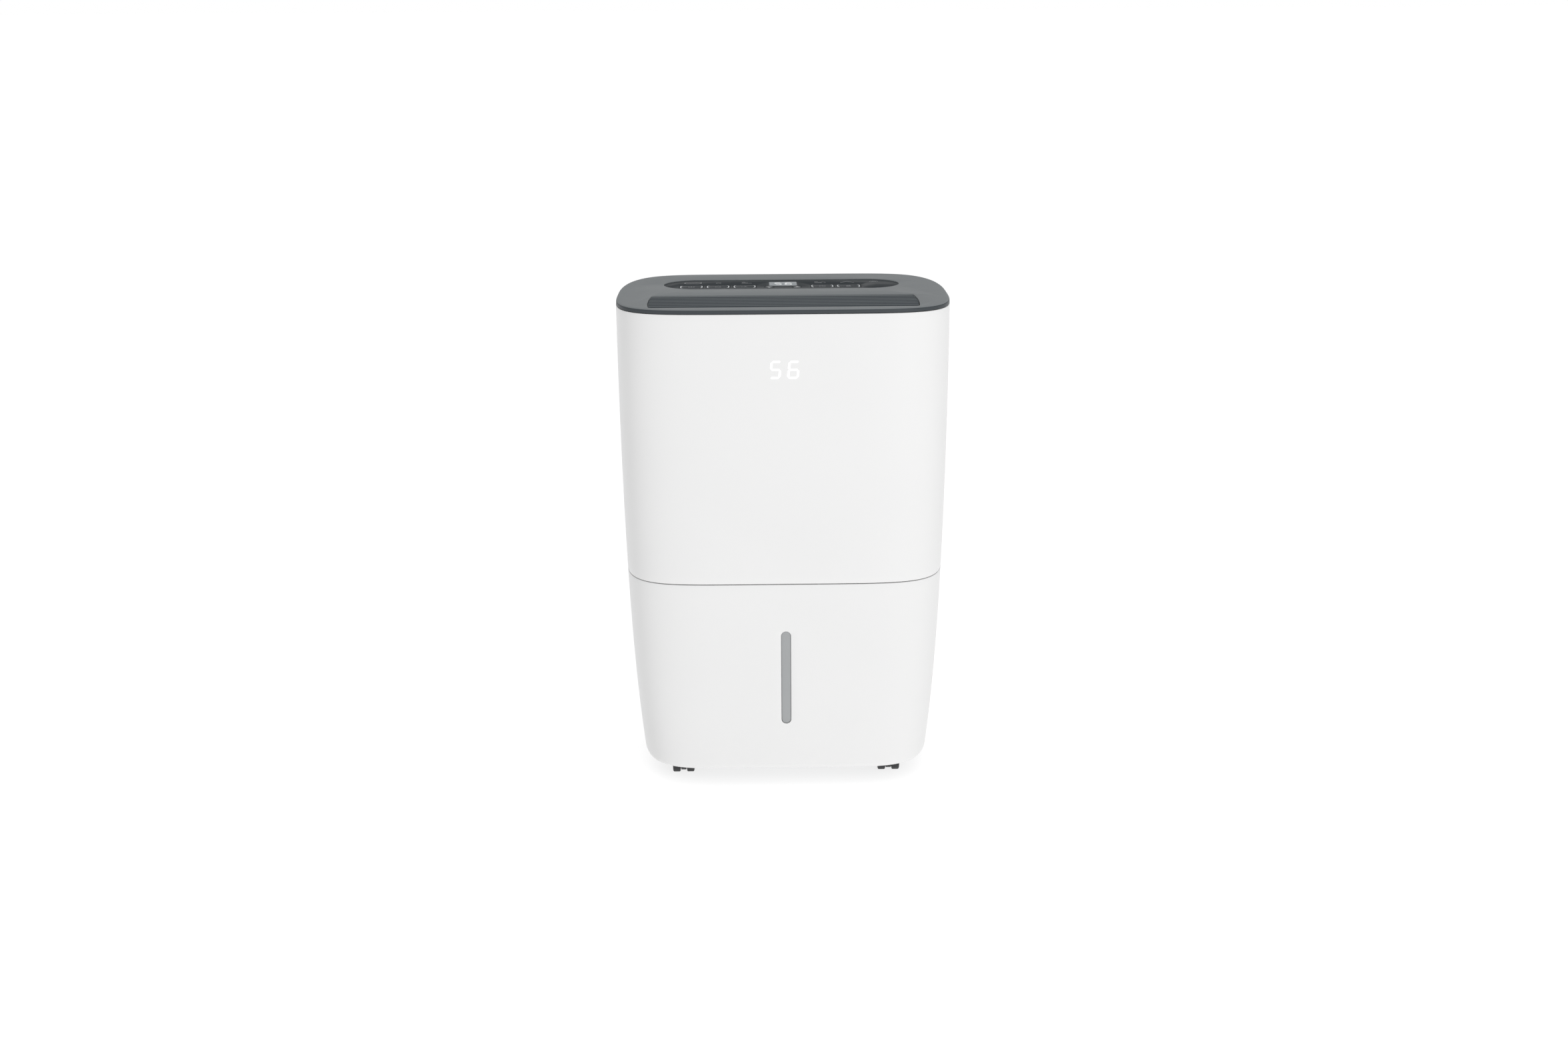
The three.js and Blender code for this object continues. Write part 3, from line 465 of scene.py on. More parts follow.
M = {
    "white": plastic("white_satin_plastic", (0.80, 0.80, 0.797), rough=0.34, spread_c=0.006, grain=0.00001, ior=1.2),
    "rear_white": plastic("white_rear_plastic", (0.78, 0.78, 0.775), rough=0.38, spread_c=0.008, grain=0.00002),
    "top": plastic("grey_top_plastic", (0.232, 0.249, 0.256), rough=0.46, spread_c=0.02, grain=0.00004, grain_scale=2200, ior=1.2),
    "rim": plastic("rim_plastic", (0.062, 0.070, 0.076), rough=0.42, spread_c=0.03, grain=0.00003, ior=1.2),
    "louvre": plastic("louvre_plastic", (0.066, 0.077, 0.084), rough=0.40, spread_c=0.04, grain=0.00003, ior=1.2),
    # vane: lighter grey laid on the upward-facing vane tips as a painted highlight
    "vane": plastic("vane_tip_painted_highlight", (0.175, 0.192, 0.202), rough=0.42, spread_c=0.03, grain=0.00003, ior=1.2),
    "panel": plastic("panel_gloss", (0.054, 0.061, 0.066), rough=0.24, spread_c=0.04, grain=0.000004, rough_var=0.03, ior=1.025, wave=0),
    "key": plastic("key_gloss", (0.060, 0.067, 0.072), rough=0.24, spread_c=0.04, grain=0.000004, rough_var=0.03, ior=1.025, wave=0),
    "ink": plastic("printed_grey_ink", (0.40, 0.41, 0.42), rough=0.5, spread_c=0.03, ior=1.2),
    "ink_dim": plastic("printed_dim_ink", (0.25, 0.26, 0.27), rough=0.5, spread_c=0.03, ior=1.2),
    "lit": emitter("backlit_bracket", (0.95, 0.97, 1.0), 0.12, base=(0.55, 0.57, 0.58)),
    "digit": emitter("display_digit", (0.95, 0.98, 1.0), 0.22),
    "front_digit": emitter("front_digit_glow", (1.0, 1.0, 1.0), 0.42),
    "display": plastic("display_face", (0.36, 0.39, 0.41), rough=0.2, spread_c=0.05, grain=0.000004, ior=1.08, wave=0),
    "window": plastic("level_window", (0.335, 0.345, 0.35), rough=0.20, spread_c=0.03, grain=0.00001, coat=0.3),
    "black": plastic("black_plastic", (0.016, 0.016, 0.018), rough=0.42, spread_c=0.08),
    "tyre": plastic("wheel_nylon", (0.02, 0.02, 0.022), rough=0.55, spread_c=0.1, grain=0.00008, grain_scale=1500),
    "base": plastic("base_pan_plastic", (0.060, 0.064, 0.068), rough=0.5, spread_c=0.05, grain=0.00008),
    "inner": plastic("inner_grey_white", (0.62, 0.63, 0.62), rough=0.48, spread_c=0.02, grain=0.00005),
    "tray": plastic("tray_grey", (0.40, 0.41, 0.41), rough=0.42, spread_c=0.03, grain=0.00005),
    "tank": plastic("tank_translucent", (0.52, 0.58, 0.61), rough=0.22, spread_c=0.03, grain=0.00002),
    "lid": plastic("tank_lid_plastic", (0.60, 0.61, 0.60), rough=0.40, spread_c=0.02, grain=0.00005),
    "foam": plastic("float_foam", (0.72, 0.66, 0.55), rough=0.85, spread_c=0.06, grain=0.0004, grain_scale=700),
    "rubber": plastic("rubber_mount", (0.018, 0.018, 0.018), rough=0.8, spread_c=0.12, grain=0.0001, grain_scale=900),
    "pcb": plastic("board_green", (0.015, 0.12, 0.06), rough=0.4, spread_c=0.15, grain=0.00008, grain_scale=400),
    "filter": plastic("filter_frame", (0.045, 0.05, 0.055), rough=0.6, spread_c=0.06),
    "aluminium": metal("coil_aluminium", (0.72, 0.74, 0.76), rough=0.34, brushed=(1, 1, 0.15)),
    "copper": metal("copper_tube", (0.78, 0.36, 0.20), rough=0.26, spread_c=0.12),
    "steel": metal("zinc_steel", (0.55, 0.56, 0.58), rough=0.32, spread_c=0.06),
    "comp": plastic("compressor_enamel", (0.018, 0.019, 0.021), rough=0.30, spread_c=0.15, grain=0.00012, grain_scale=500, coat=0.3),
}


def paint(o, key):
    o.data.materials.clear()
    o.data.materials.append(M[key])
    return o


def part(o, key, body, slot, *nodes):
    paint(o, key)
    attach(o, body)
    if nodes:
        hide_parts(*nodes)
    return o


# ------------------------------------------------------------------ camera
CAM = dict(c=(-0.03106, -2.00164, 0.81011), yaw=-0.01581, pitch=0.26891, roll=0.00567, f=2816.97)


def make_camera(c, yaw, pitch, roll, f):
    sy, cy, sp, cp, sr, cr = math.sin(yaw), math.cos(yaw), math.sin(pitch), math.cos(pitch), math.sin(roll), math.cos(roll)
    right0 = Vector((cy, sy, 0))
    ahead = Vector((-sy, cy, 0))
    fwd = ahead * cp + Vector((0, 0, -sp))
    up0 = ahead * sp + Vector((0, 0, cp))
    right, up = right0 * cr - up0 * sr, right0 * sr + up0 * cr
    cam = bpy.data.objects.new("camera", bpy.data.cameras.new("camera"))
    cam.matrix_world = Matrix((
        (right.x, up.x, -fwd.x, c[0]),
        (right.y, up.y, -fwd.y, c[1]),
        (right.z, up.z, -fwd.z, c[2]),
        (0, 0, 0, 1),
    ))
    cam.data.sensor_width = 36
    cam.data.lens = f / 2352 * 36
    cam.data.clip_start, cam.data.clip_end = 0.05, 1000
    bpy.context.scene.collection.objects.link(cam)
    bpy.context.scene.camera = cam


make_camera(**CAM)

# ------------------------------------------------------------------ white housing
N_ARC = 190


def upper_levels(z0, z1, n):
    return [(z, 0.0, z) for z in np.linspace(z0, z1, n)]


END_Y["front_cover_shell"] = SPLIT - 0.2
cover = shell("front_cover_shell", -math.pi, 0.0, N_ARC, upper_levels(SEAM + 0.45, TOP_SEAM - 0.35, 40), 2.5)
bevel(cover, 0.45, 3, 50)
smooth(cover, 40)
part(cover, "white", "cabinet", "white_housing", "front_cover")

END_Y["tank_front_shell"] = SPLIT - 0.2
low = BOTTOM + upper_levels(BASE + 6.6, SEAM - 0.45, 32)
tank_front = shell("tank_front_shell", -math.pi, 0.0, N_ARC, low, 2.5)
bevel(tank_front, 0.45, 3, 50)


def pill(dx, x=5.2, z0=71.0, z1=175.0, seg=20):
    r = x + dx
    p = [(r * math.cos(math.pi * i / seg), z1 - x + r * math.sin(math.pi * i / seg)) for i in range(seg + 1)]
    return p + [(r * math.cos(math.pi + math.pi * i / seg), z0 + x + r * math.sin(math.pi + math.pi * i / seg)) for i in range(seg + 1)]


boolean(tank_front, prism("cut", pill(0), -200, -100, "y"))
bevel(tank_front, 0.35, 2, 60)
smooth(tank_front, 40)
part(tank_front, "white", "bucket", "white_housing", "tank_front")


def front_y(x, z, inset=0.0):
    """Depth of the front surface at a place on it."""
    a, b = half_w(z) - inset, half_f(z) - inset
    return -b * (1 - (abs(x) / a) ** EX[0]) ** (1 / EY[0])


# Level window: a rounded bar set back in the slot
def bar_patch(name, pts, depth, inset, rows=None):
    n = len(pts)
    verts = [(x, front_y(x, z, inset), z) for x, z in pts] + [(x, front_y(x, z, inset) + depth, z) for x, z in pts]
    faces = [list(range(n)), list(range(n, 2 * n))[::-1]] + [[i, n + i, n + (i + 1) % n, (i + 1) % n] for i in range(n)]
    return tidy(mesh_object(name, verts, faces), 0.0005)


window = bar_patch("level_window", pill(-0.3), 2.0, 1.0)
bevel(window, 0.5, 3, 40)
smooth(window, 40)
part(window, "window", "bucket", "window_grey", "tank_window")

# Rear cover
END_Y["rear_cover_shell"] = SPLIT + 0.2
rear = shell("rear_cover_shell", 0.0, math.pi, N_ARC + 20, BOTTOM + upper_levels(BASE + 6.6, TOP_SEAM - 0.35, 60), 2.5)
bevel(rear, 0.45, 2, 50)
boolean(rear, prism("cut", round_rect(-121.2, 121.2, 253.3, 470.7, 5), 100, 150, "y"))
boolean(rear, prism("cut", circle(12, 90, 150, 48), 100, 150, "y"))
boolean(rear, prism("cut", circle(7.5, -106, 62, 32), 100, 150, "y"))
for s in (-1, 1):
    x0, x1 = (150.5, 200) if s > 0 else (-200, -150.5)
    boolean(rear, prism("cut", round_rect(6.5, 75.5, 423.5, 450.5, 6), x0, x1, "x"))
bevel(rear, 0.5, 2, 60)
smooth(rear, 40)
part(rear, "rear_white", "cabinet", "white_housing", "rear_cover")

# Grip pockets: rounded cups behind the side openings
for s, tag in ((-1, "left"), (1, "right")):
    outer = prism("grip", round_rect(5, 77, 422, 452, 7), 146.4 if s > 0 else -174.3, 174.3 if s > 0 else -146.4, "x")
    hull = prism("hull", list(zip(*[list(c) for c in outline(spread(-math.pi, math.pi, 241)[:-1], 437, 1.0)])), 400, 470)
    boolean(outer, hull, "INTERSECT")
    inner = prism("cut", round_rect(6.5, 75.5, 423.5, 450.5, 6), 148.5 if s > 0 else -200, 200 if s > 0 else -148.5, "x")
    boolean(outer, inner)
    bevel(outer, 0.4, 2, 50)
    smooth(outer, 40)
    outer.name = "grip_pocket_" + tag
    part(outer, "rear_white", "cabinet", "white_housing")

# Frame inside the inlet, and the drain boss
ring_o = prism("inlet_frame", round_rect(-124, 124, 250.3, 473.7, 5), 111, 124.2, "y")
boolean(ring_o, prism("cut", round_rect(-121.2, 121.2, 253.3, 470.7, 4), 114.6, 140, "y"))
boolean(ring_o, prism("cut", round_rect(-114, 114, 260, 464, 4), 100, 140, "y"))
smooth(bevel(ring_o, 0.4, 2, 50), 40)
part(ring_o, "rear_white", "cabinet", "white_housing")
boss = prism("drain_boss", circle(14.5, 90, 150, 48), 109, 127.2, "y")
boolean(boss, prism("cut", circle(12, 90, 150, 48), 124, 140, "y"))
boolean(boss, prism("cut", circle(8.3, 90, 150, 40), 100, 140, "y"))
smooth(bevel(boss, 0.3, 2, 50), 40)
part(boss, "rear_white", "cabinet", "white_housing")

# ------------------------------------------------------------------ grey top
def loop_stack(name, levels, n=300, cap0=True, cap1=True):
    """Closed body through a stack of full outlines; levels are (z, inset, profile z)."""
    base = spread(-math.pi, math.pi, n + 1)[:-1]
    verts = []
    for z, ins, pz in levels:
        x, y = outline(base, pz, ins)
        verts += [(x[i], y[i], z) for i in range(n)]
    faces = []
    for i in range(len(levels) - 1):
        faces += [[i * n + j, i * n + (j + 1) % n, (i + 1) * n + (j + 1) % n, (i + 1) * n + j] for j in range(n)]
    faces.append(list(range(n))[::-1])
    faces.append(list(range((len(levels) - 1) * n, len(levels) * n)))
    return tidy(mesh_object(name, verts, faces), 0.0005)


top = loop_stack("top_cover_body", [
    (TOP_SEAM + 0.25, 2.9, 511), (TOP_SEAM + 0.25, 0.5, 511), (TOP_SEAM + 0.5, 0.2, 511), (514.0, 0.25, 511), (514.6, 0.4, 511),
    (515.15, 0.8, 511), (515.6, 1.45, 511), (515.88, 2.3, 511), (515.96, 3.2, 511), (516.0, 4.4, 511), (516.0, 5.2, 511)])
boolean(top, prism("cut", louvre_shape(0.3), 505, 530))
boolean(top, prism("cut", stadium(PANEL_CX, PANEL_R + 0.45, PANEL_CY), 512.1, 530))
boolean(top, prism("cut", stadium(PANEL_CX, PANEL_R - 2.5, PANEL_CY), 500, 530))
bevel(top, 0.35, 2, 60)
smooth(top, 38)
part(top, "top", "cabinet", "grey_top", "top_cover")
top.data.materials.append(M["rim"])
for f in top.data.polygons:
    if f.center.z < 0.51565 and f.normal.z < 0.75 and abs(f.center.x) + abs(f.center.y) > 0.0 and f.center.z > 0.5113:
        cx_, cy_ = f.center.x / MM, f.center.y / MM
        e = 0 if cy_ < 0 else 1
        if (abs(cx_) / 171.0) ** EX[e] + (abs(cy_) / 126.5) ** EY[e] > 1:
            f.material_index = 1

# ------------------------------------------------------------------ louvre
frame_o = prism("louvre_frame", louvre_shape(0.1), 507.5, 514.2)
boolean(frame_o, prism("cut", louvre_shape(-0.9), 500, 530))
bevel(frame_o, 0.2, 2, 60)
smooth(frame_o, 38)
pieces = [frame_o]


def louvre_half(y, grow=-0.5):
    """Half length of a vane at depth y."""
    Y0, Y1 = LOUVRE["y0"] - grow, LOUVRE["y1"] + grow
    yc, h, r = (Y0 + Y1) / 2, (Y1 - Y0) / 2, LOUVRE["r"]
    u = min(1.0, abs(y - yc) / h)
    k = max(0.0, (u * h - (h - r)) / r)
    return LOUVRE["x"] + grow - LOUVRE["bulge"] * u * u - r * (1 - math.sqrt(max(0, 1 - k * k)))


ROWS = 8
PITCH = (LOUVRE["y1"] - LOUVRE["y0"]) / ROWS
for i in range(1, ROWS):
    y = LOUVRE["y0"] + i * PITCH
    c, s, w, t = math.cos(math.radians(38)), math.sin(math.radians(38)), 10.4, 1.3
    # vane section leans back; its upper edge is rounded, and the upward-facing faces at its tip get a lighter grey
    # below as a painted highlight
    sec = []
    for u, v in ((0, 0), (w - 0.4, 0), (w, 0.4), (w, t - 0.4), (w - 0.4, t), (w - 1.15, t), (0, t)):
        sec.append((y - 3.6 + u * c - v * s, 508.6 + u * s + v * c))
    hx = louvre_half(y)
    pieces.append(smooth(prism("vane", sec, -hx, hx, "x"), 50))
for x in (-69, 0, 69):
    pieces.append(box("rib", x - 0.9, x + 0.9, LOUVRE["y0"] + 1, LOUVRE["y1"] - 1, 508.3, 511.3))
louvre = join("outlet_louvre", pieces)
part(louvre, "louvre", "cabinet", "dark_trim", "outlet_grille")
# painted highlight: upward-facing faces near the top of the vanes get the lighter vane grey
louvre.data.materials.append(M["vane"])
for f in louvre.data.polygons:
    if abs(f.normal.x) < 0.5 and f.normal.z > -0.2 and f.center.z > 0.51485:
        f.material_index = 1

# ------------------------------------------------------------------ control panel
panel = prism("control_panel_plate", stadium(PANEL_CX, PANEL_R, PANEL_CY), 512.4, 515.35)
for name, x0, x1, y0, y1 in KEYS:
    boolean(panel, prism("cut", round_rect(x0 - 0.3, x1 + 0.3, y0 - 0.3, y1 + 0.3, 1.6), 500, 530))
boolean(panel, prism("cut", round_rect(DISPLAY[0] - 0.3, DISPLAY[1] + 0.3, DISPLAY[2] - 0.3, DISPLAY[3] + 0.3, 2.0), 500, 530))
bevel(panel, 0.2, 2, 60)
smooth(panel, 38)
part(panel, "panel", "cabinet", "panel_gloss", "control_panel")

KEY_TOP = 515.3


def flat_strip(name, pts, w, z, h=0.12, closed=False):
    """Thin raised line of width w along (x, y) points."""
    n = len(pts)
    P = [Vector((p[0], p[1])) for p in pts]
    verts, faces = [], []
    for i in range(n):
        a = P[i - 1] if (i > 0 or closed) else P[i]
        b = P[(i + 1) % n] if (i < n - 1 or closed) else P[i]
        d = (b - a).normalized()
        nn = Vector((-d.y, d.x)) * (w / 2)
        for q in (P[i] + nn, P[i] - nn):
            verts += [(q.x, q.y, z), (q.x, q.y, z + h)]
    m = n if closed else n - 1
    for i in range(m):
        a, b = i * 4, ((i + 1) % n) * 4
        faces += [[a + 1, a + 3, b + 3, b + 1], [a, b, b + 2, a + 2], [a, a + 1, b + 1, b], [a + 2, b + 2, b + 3, a + 3]]
    if not closed:
        faces += [[0, 2, 3, 1], [4 * (n - 1), 4 * (n - 1) + 1, 4 * (n - 1) + 3, 4 * (n - 1) + 2]]
    return tidy(mesh_object(name, verts, faces), 0.0002)


def disc(name, cx, cy, r, z, h=0.12, n=20):
    return prism(name, circle(r, cx, cy, n), z, z + h)


def arc(cx, cy, r, d0, d1, n=16):
    return [(cx + r * math.cos(math.radians(d0 + (d1 - d0) * i / n)), cy + r * math.sin(math.radians(d0 + (d1 - d0) * i / n))) for i in range(n + 1)]


for name, x0, x1, y0, y1 in KEYS:
    cap = prism(name + "_cap", round_rect(x0, x1, y0, y1, 1.4), 511.8, KEY_TOP)
    bevel(cap, 0.25, 3, 50)
    smooth(cap, 38)
    part(cap, "key", "press_" + name, "key_gloss", name)
    z = KEY_TOP - 0.02
    xc, yc = (x0 + x1) / 2, (y0 + y1) / 2
    marks = []
    if name in ("key_up", "key_down"):
        u = 1 if name == "key_up" else -1
        tri = [(xc - 3.6, yc - 2.2 * u), (xc + 3.6, yc - 2.2 * u), (xc, yc + 2.8 * u)]
        marks.append(prism("mark", tri if u > 0 else tri[::-1], z, z + 0.12))
    else:
        # bracket ends
        for e in (-1, 1):
            xe = xc + e * ((x1 - x0) / 2 - 1.5)
            marks.append(flat_strip("mark", [(xe - e * 1.8, y0 + 2.4), (xe - e * 0.5, y0 + 3.0), (xe, y0 + 4.6), (xe, y1 - 4.6), (xe - e * 0.5, y1 - 3.0), (xe - e * 1.8, y1 - 2.4)], 1.05, z))
    lit = join(name + "_brackets", marks)
    part(lit, "lit", "press_" + name, "display_smoke")
    if name not in ("key_up", "key_down"):
        dim = [
            flat_strip("line", [(x0 + 4.0, y0 + 2.3), (x1 - 4.0, y0 + 2.3)], 0.6, z, 0.08),
            flat_strip("line", [(x0 + 4.0, y1 - 2.3), (x1 - 4.0, y1 - 2.3)], 0.6, z, 0.08),
        ]
        if name == "key_power":
            dim.append(flat_strip("icon", arc(xc, yc - 0.4, 3.2, -235, 55), 0.7, z, 0.08))
            dim.append(flat_strip("icon", [(xc, yc + 0.4), (xc, yc + 4.0)], 0.7, z, 0.08))
        elif name == "key_mode":
            dim.append(flat_strip("icon", [(xc, yc + 4.2)] + arc(xc, yc - 1.0, 2.8, 150, 390, 14) + [(xc, yc + 4.2)], 0.7, z, 0.08))
        elif name == "key_fan":
            for k in range(3):
                a = 120 * k + 90
                dim.append(flat_strip("icon", arc(xc + 1.7 * math.cos(math.radians(a)), yc + 1.7 * math.sin(math.radians(a)), 1.7, a - 180, a, 10), 0.7, z, 0.08))
        elif name == "key_timer":
            dim.append(flat_strip("icon", arc(xc, yc, 3.4, 0, 345), 0.7, z, 0.08))
            dim.append(flat_strip("icon", [(xc, yc + 2.2), (xc, yc), (xc + 1.8, yc)], 0.6, z, 0.08))
        elif name == "key_lock":
            dim.append(prism("icon", round_rect(xc - 2.6, xc + 2.6, yc - 3.2, yc + 0.6, 0.6, 3), z, z + 0.08))
            dim.append(flat_strip("icon", [(xc - 1.7, yc + 0.4)] + arc(xc, yc + 1.6, 1.7, 180, 0, 10) + [(xc + 1.7, yc + 0.4)], 0.7, z, 0.08))
        part(join(name + "_print", dim), "ink_dim", "press_" + name, "key_gloss")

# Row of small printed symbols over the keys
z = 515.33
sym = [flat_strip("s", round_rect(-106, -88, 58.5, 68.5, 3.5), 0.9, z, 0.08, True)]
sym_dim = []
for cx in (-69, 46):
    sym_dim.append(flat_strip("s", [(cx, 67.5)] + arc(cx, 62, 2.6, 150, 390, 14) + [(cx, 67.5)], 0.7, z, 0.08))
for cx in (-38, 42):
    sym.append(flat_strip("s", [(cx - 5.5, 59.5), (cx + 5.5, 59.5)], 0.8, z, 0.08))
    sym.append(flat_strip("s", [(cx - 5.5, 63.5), (cx + 1.5, 63.5)], 0.8, z, 0.08))
    sym.append(flat_strip("s", [(cx - 5.5, 67.5), (cx - 1.5, 67.5)], 0.8, z, 0.08))
sym.append(flat_strip("s", [(65, 60), (72.5, 67.5), (80, 60)], 0.9, z, 0.08))
sym.append(flat_strip("s", arc(102, 62, 6.2, 40, 140), 0.8, z, 0.08))
sym.append(flat_strip("s", arc(102, 62, 3.2, 40, 140), 0.8, z, 0.08))
part(join("panel_symbols", sym), "ink", "cabinet", "panel_gloss")
part(join("panel_symbols_dim", sym_dim), "ink_dim", "cabinet", "panel_gloss")

# Display window and its digits
dx0, dx1, dy0, dy1 = DISPLAY
face = prism("display_face", round_rect(dx0, dx1, dy0, dy1, 1.8), 512.7, 515.25)
smooth(bevel(face, 0.25, 3, 50), 38)
part(face, "display", "cabinet", "display_smoke", "display_window")

SEG = {"5": "afgcd", "6": "afgecd"}


def digit_segments(ch, w, h, t):
    """Segment outlines of a seven segment digit in a w by h box, as (u, v) with chamfered ends."""
    g = 0.12 * t
    m = h / 2
    out = []
    def horiz(v, x0, x1):
        return [(x0 + t / 2 + g, v), (x0 + t + g, v + t / 2), (x1 - t - g, v + t / 2), (x1 - t / 2 - g, v), (x1 - t - g, v - t / 2), (x0 + t + g, v - t / 2)]
    def vert(u, y0, y1):
        return [(u, y0 + t / 2 + g), (u + t / 2, y0 + t + g), (u + t / 2, y1 - t - g), (u, y1 - t / 2 - g), (u - t / 2, y1 - t - g), (u - t / 2, y0 + t + g)]
    table = {
        "a": lambda: horiz(h - t / 2, 0, w), "d": lambda: horiz(t / 2, 0, w), "g": lambda: horiz(m, 0, w),
        "f": lambda: vert(t / 2, m - t / 2, h), "b": lambda: vert(w - t / 2, m - t / 2, h),
        "e": lambda: vert(t / 2, 0, m + t / 2), "c": lambda: vert(w - t / 2, 0, m + t / 2),
    }
    for k in SEG[ch]:
        out.append(table[k]())
    return out


segs = []
for ch, x in (("5", -8.2), ("6", 3.2)):
    for s in digit_segments(ch, 8.2, 17.0, 2.2):
        segs.append(prism("seg", [(x + u + v * 0.06, 46.5 + v) for u, v in s], 515.2, 515.36))
part(join("display_digits", segs), "digit", "cabinet", "display_smoke")

# ------------------------------------------------------------------ digits that glow through the front
segs = []
for ch, x, w in (("5", -15.9, 11.6), ("6", 2.2, 12.0)):
    for s in digit_segments(ch, w, 18.8, 2.3):
        pts = [(x + u + v * 0.10, 445.0 + v) for u, v in s]
        n = len(pts)
        verts = [(px, front_y(px, pz) - 0.06, pz) for px, pz in pts] + [(px, front_y(px, pz) + 0.25, pz) for px, pz in pts]
        faces = [list(range(n)), list(range(n, 2 * n))[::-1]] + [[i, n + i, n + (i + 1) % n, (i + 1) % n] for i in range(n)]
        segs.append(tidy(mesh_object("seg", verts, faces), 0.0002))
part(join("front_digits", segs), "front_digit", "cabinet", "display_smoke")

# ------------------------------------------------------------------ inlet grille and filter
def back_y(x, z, inset=0.0):
    a, b = half_w(z) - inset, HD - inset
    return b * (1 - (abs(x) / a) ** EX[1]) ** (1 / EY[1])


def curved_bar(name, xs, z0, z1, inset, depth):
    """Bar that follows the rear surface along xs."""
    verts, faces = [], []
    for x in xs:
        y = back_y(x, (z0 + z1) / 2, inset)
        verts += [(x, y, z0), (x, y, z1), (x, y - depth, z1), (x, y - depth, z0)]
    n = len(xs)
    for i in range(n - 1):
        a, b = 4 * i, 4 * (i + 1)
        faces += [[a, a + 1, b + 1, b], [a + 1, a + 2, b + 2, b + 1], [a + 2, a + 3, b + 3, b + 2], [a + 3, a, b, b + 3]]
    faces += [[0, 3, 2, 1], [4 * (n - 1), 4 * (n - 1) + 1, 4 * (n - 1) + 2, 4 * (n - 1) + 3]]
    return tidy(mesh_object(name, verts, faces), 0.0005)


bars = []
xs = list(np.linspace(-120.5, 120.5, 61))
for z0, z1 in ((253.9, 261.5), (462.5, 470.1)):
    bars.append(bevel(curved_bar("rail", xs, z0, z1, 0.3, 4.2), 0.6, 2, 50))
NB = 26
for i in range(NB):
    zc = 261.5 + (i + 0.5) * (201.0 / NB)
    bars.append(bevel(curved_bar("bar", list(np.linspace(-114, 114, 41)), zc - 1.35, zc + 1.35, 0.7, 3.0), 0.5, 2, 50))
for xa, xb in ((-120.5, -113), (113, 120.5)):
    bars.append(bevel(curved_bar("stile", list(np.linspace(xa, xb, 5)), 253.9, 470.1, 0.3, 4.2), 0.5, 2, 50))
for xc in (-57, 0, 57):
    bars.append(bevel(curved_bar("rib", [xc - 1.3, xc, xc + 1.3], 258, 466, 2.2, 3.2), 0.3, 2, 50))
grille = smooth(join("inlet_grille", bars), 40)
part(grille, "rear_white", "filter_cassette", "grille_white", "rear_grille")

# woven filter: crossing threads in a moulded frame
fr = prism("filter_frame", round_rect(-119.5, 119.5, 255, 469, 3), 115.3, 119.4, "y")
boolean(fr, prism("cut", round_rect(-114, 114, 260, 464, 2), 100, 130, "y"))
smooth(bevel(fr, 0.4, 2, 50), 40)
parts_ = [fr]
for i in range(1, 6):
    x = -114 + i * 38
    parts_.append(box("stay", x - 0.8, x + 0.8, 115.6, 119.1, 259.5, 464.5))
for i in range(1, 5):
    zz = 260 + i * 40.8
    parts_.append(box("stay", -114.5, 114.5, 115.6, 119.1, zz - 0.8, zz + 0.8))
filt = join("filter_frame_piece", parts_)
part(filt, "filter", "filter_cassette", "filter_fabric", "filter_mesh")


def thread_grid(name, x0, x1, z0, z1, y, step, w):
    verts, faces = [], []
    def quad(a, b, c, d):
        k = len(verts)
        verts.extend([a, b, c, d])
        faces.append([k, k + 1, k + 2, k + 3])
    def bar(ax0, ax1, az0, az1, ya, yb):
        k = len(verts)
        verts.extend([(ax0, ya, az0), (ax1, ya, az0), (ax1, ya, az1), (ax0, ya, az1), (ax0, yb, az0), (ax1, yb, az0), (ax1, yb, az1), (ax0, yb, az1)])
        faces.extend([[k, k + 1, k + 2, k + 3], [k + 7, k + 6, k + 5, k + 4], [k, k + 4, k + 5, k + 1], [k + 1, k + 5, k + 6, k + 2], [k + 2, k + 6, k + 7, k + 3], [k + 3, k + 7, k + 4, k]])
    x = x0 + step / 2
    while x < x1:
        bar(x - w / 2, x + w / 2, z0, z1, y - w / 2, y + w / 2)
        x += step
    zz = z0 + step / 2
    while zz < z1:
        bar(x0, x1, zz - w / 2, zz + w / 2, y, y + w)
        zz += step
    return mesh_object(name, verts, faces)


part(thread_grid("filter_weave", -114.2, 114.2, 259.8, 464.2, 117.2, 2.4, 0.5), "filter", "filter_cassette", "filter_fabric")

# Drain cap with a finger ridge
cap = lathe("drain_cap_piece", [(0, 112), (7.4, 112), (7.9, 112.6), (7.9, 124.3), (11.2, 124.4), (11.5, 124.8), (11.5, 127.6), (10.9, 128.4), (9.5, 128.6), (9.2, 127.9), (0, 127.7)], 90, 150, 56, "y")
ridge = prism("ridge", round_rect(82.5, 97.5, 148.7, 151.3, 1.2), 127, 128.6, "y")
smooth(bevel(ridge, 0.3, 2, 50), 40)
part(join("drain_cap_knob", [smooth(cap, 35), ridge]), "base", "drain_plug", "dark_trim", "drain_cap")
gland = lathe("cord_gland_piece", [(0, 110), (10, 110), (10.4, 110.6), (10.4, 114.4), (7.1, 115), (7.1, 124), (7.0, 129.0), (6.2, 129.4), (4.2, 129.4), (3.8, 128.8), (3.8, 120), (0, 120)], -106, 62, 40, "y")
part(smooth(gland, 35), "black", "cabinet", "black_plastic", "cord_gland")

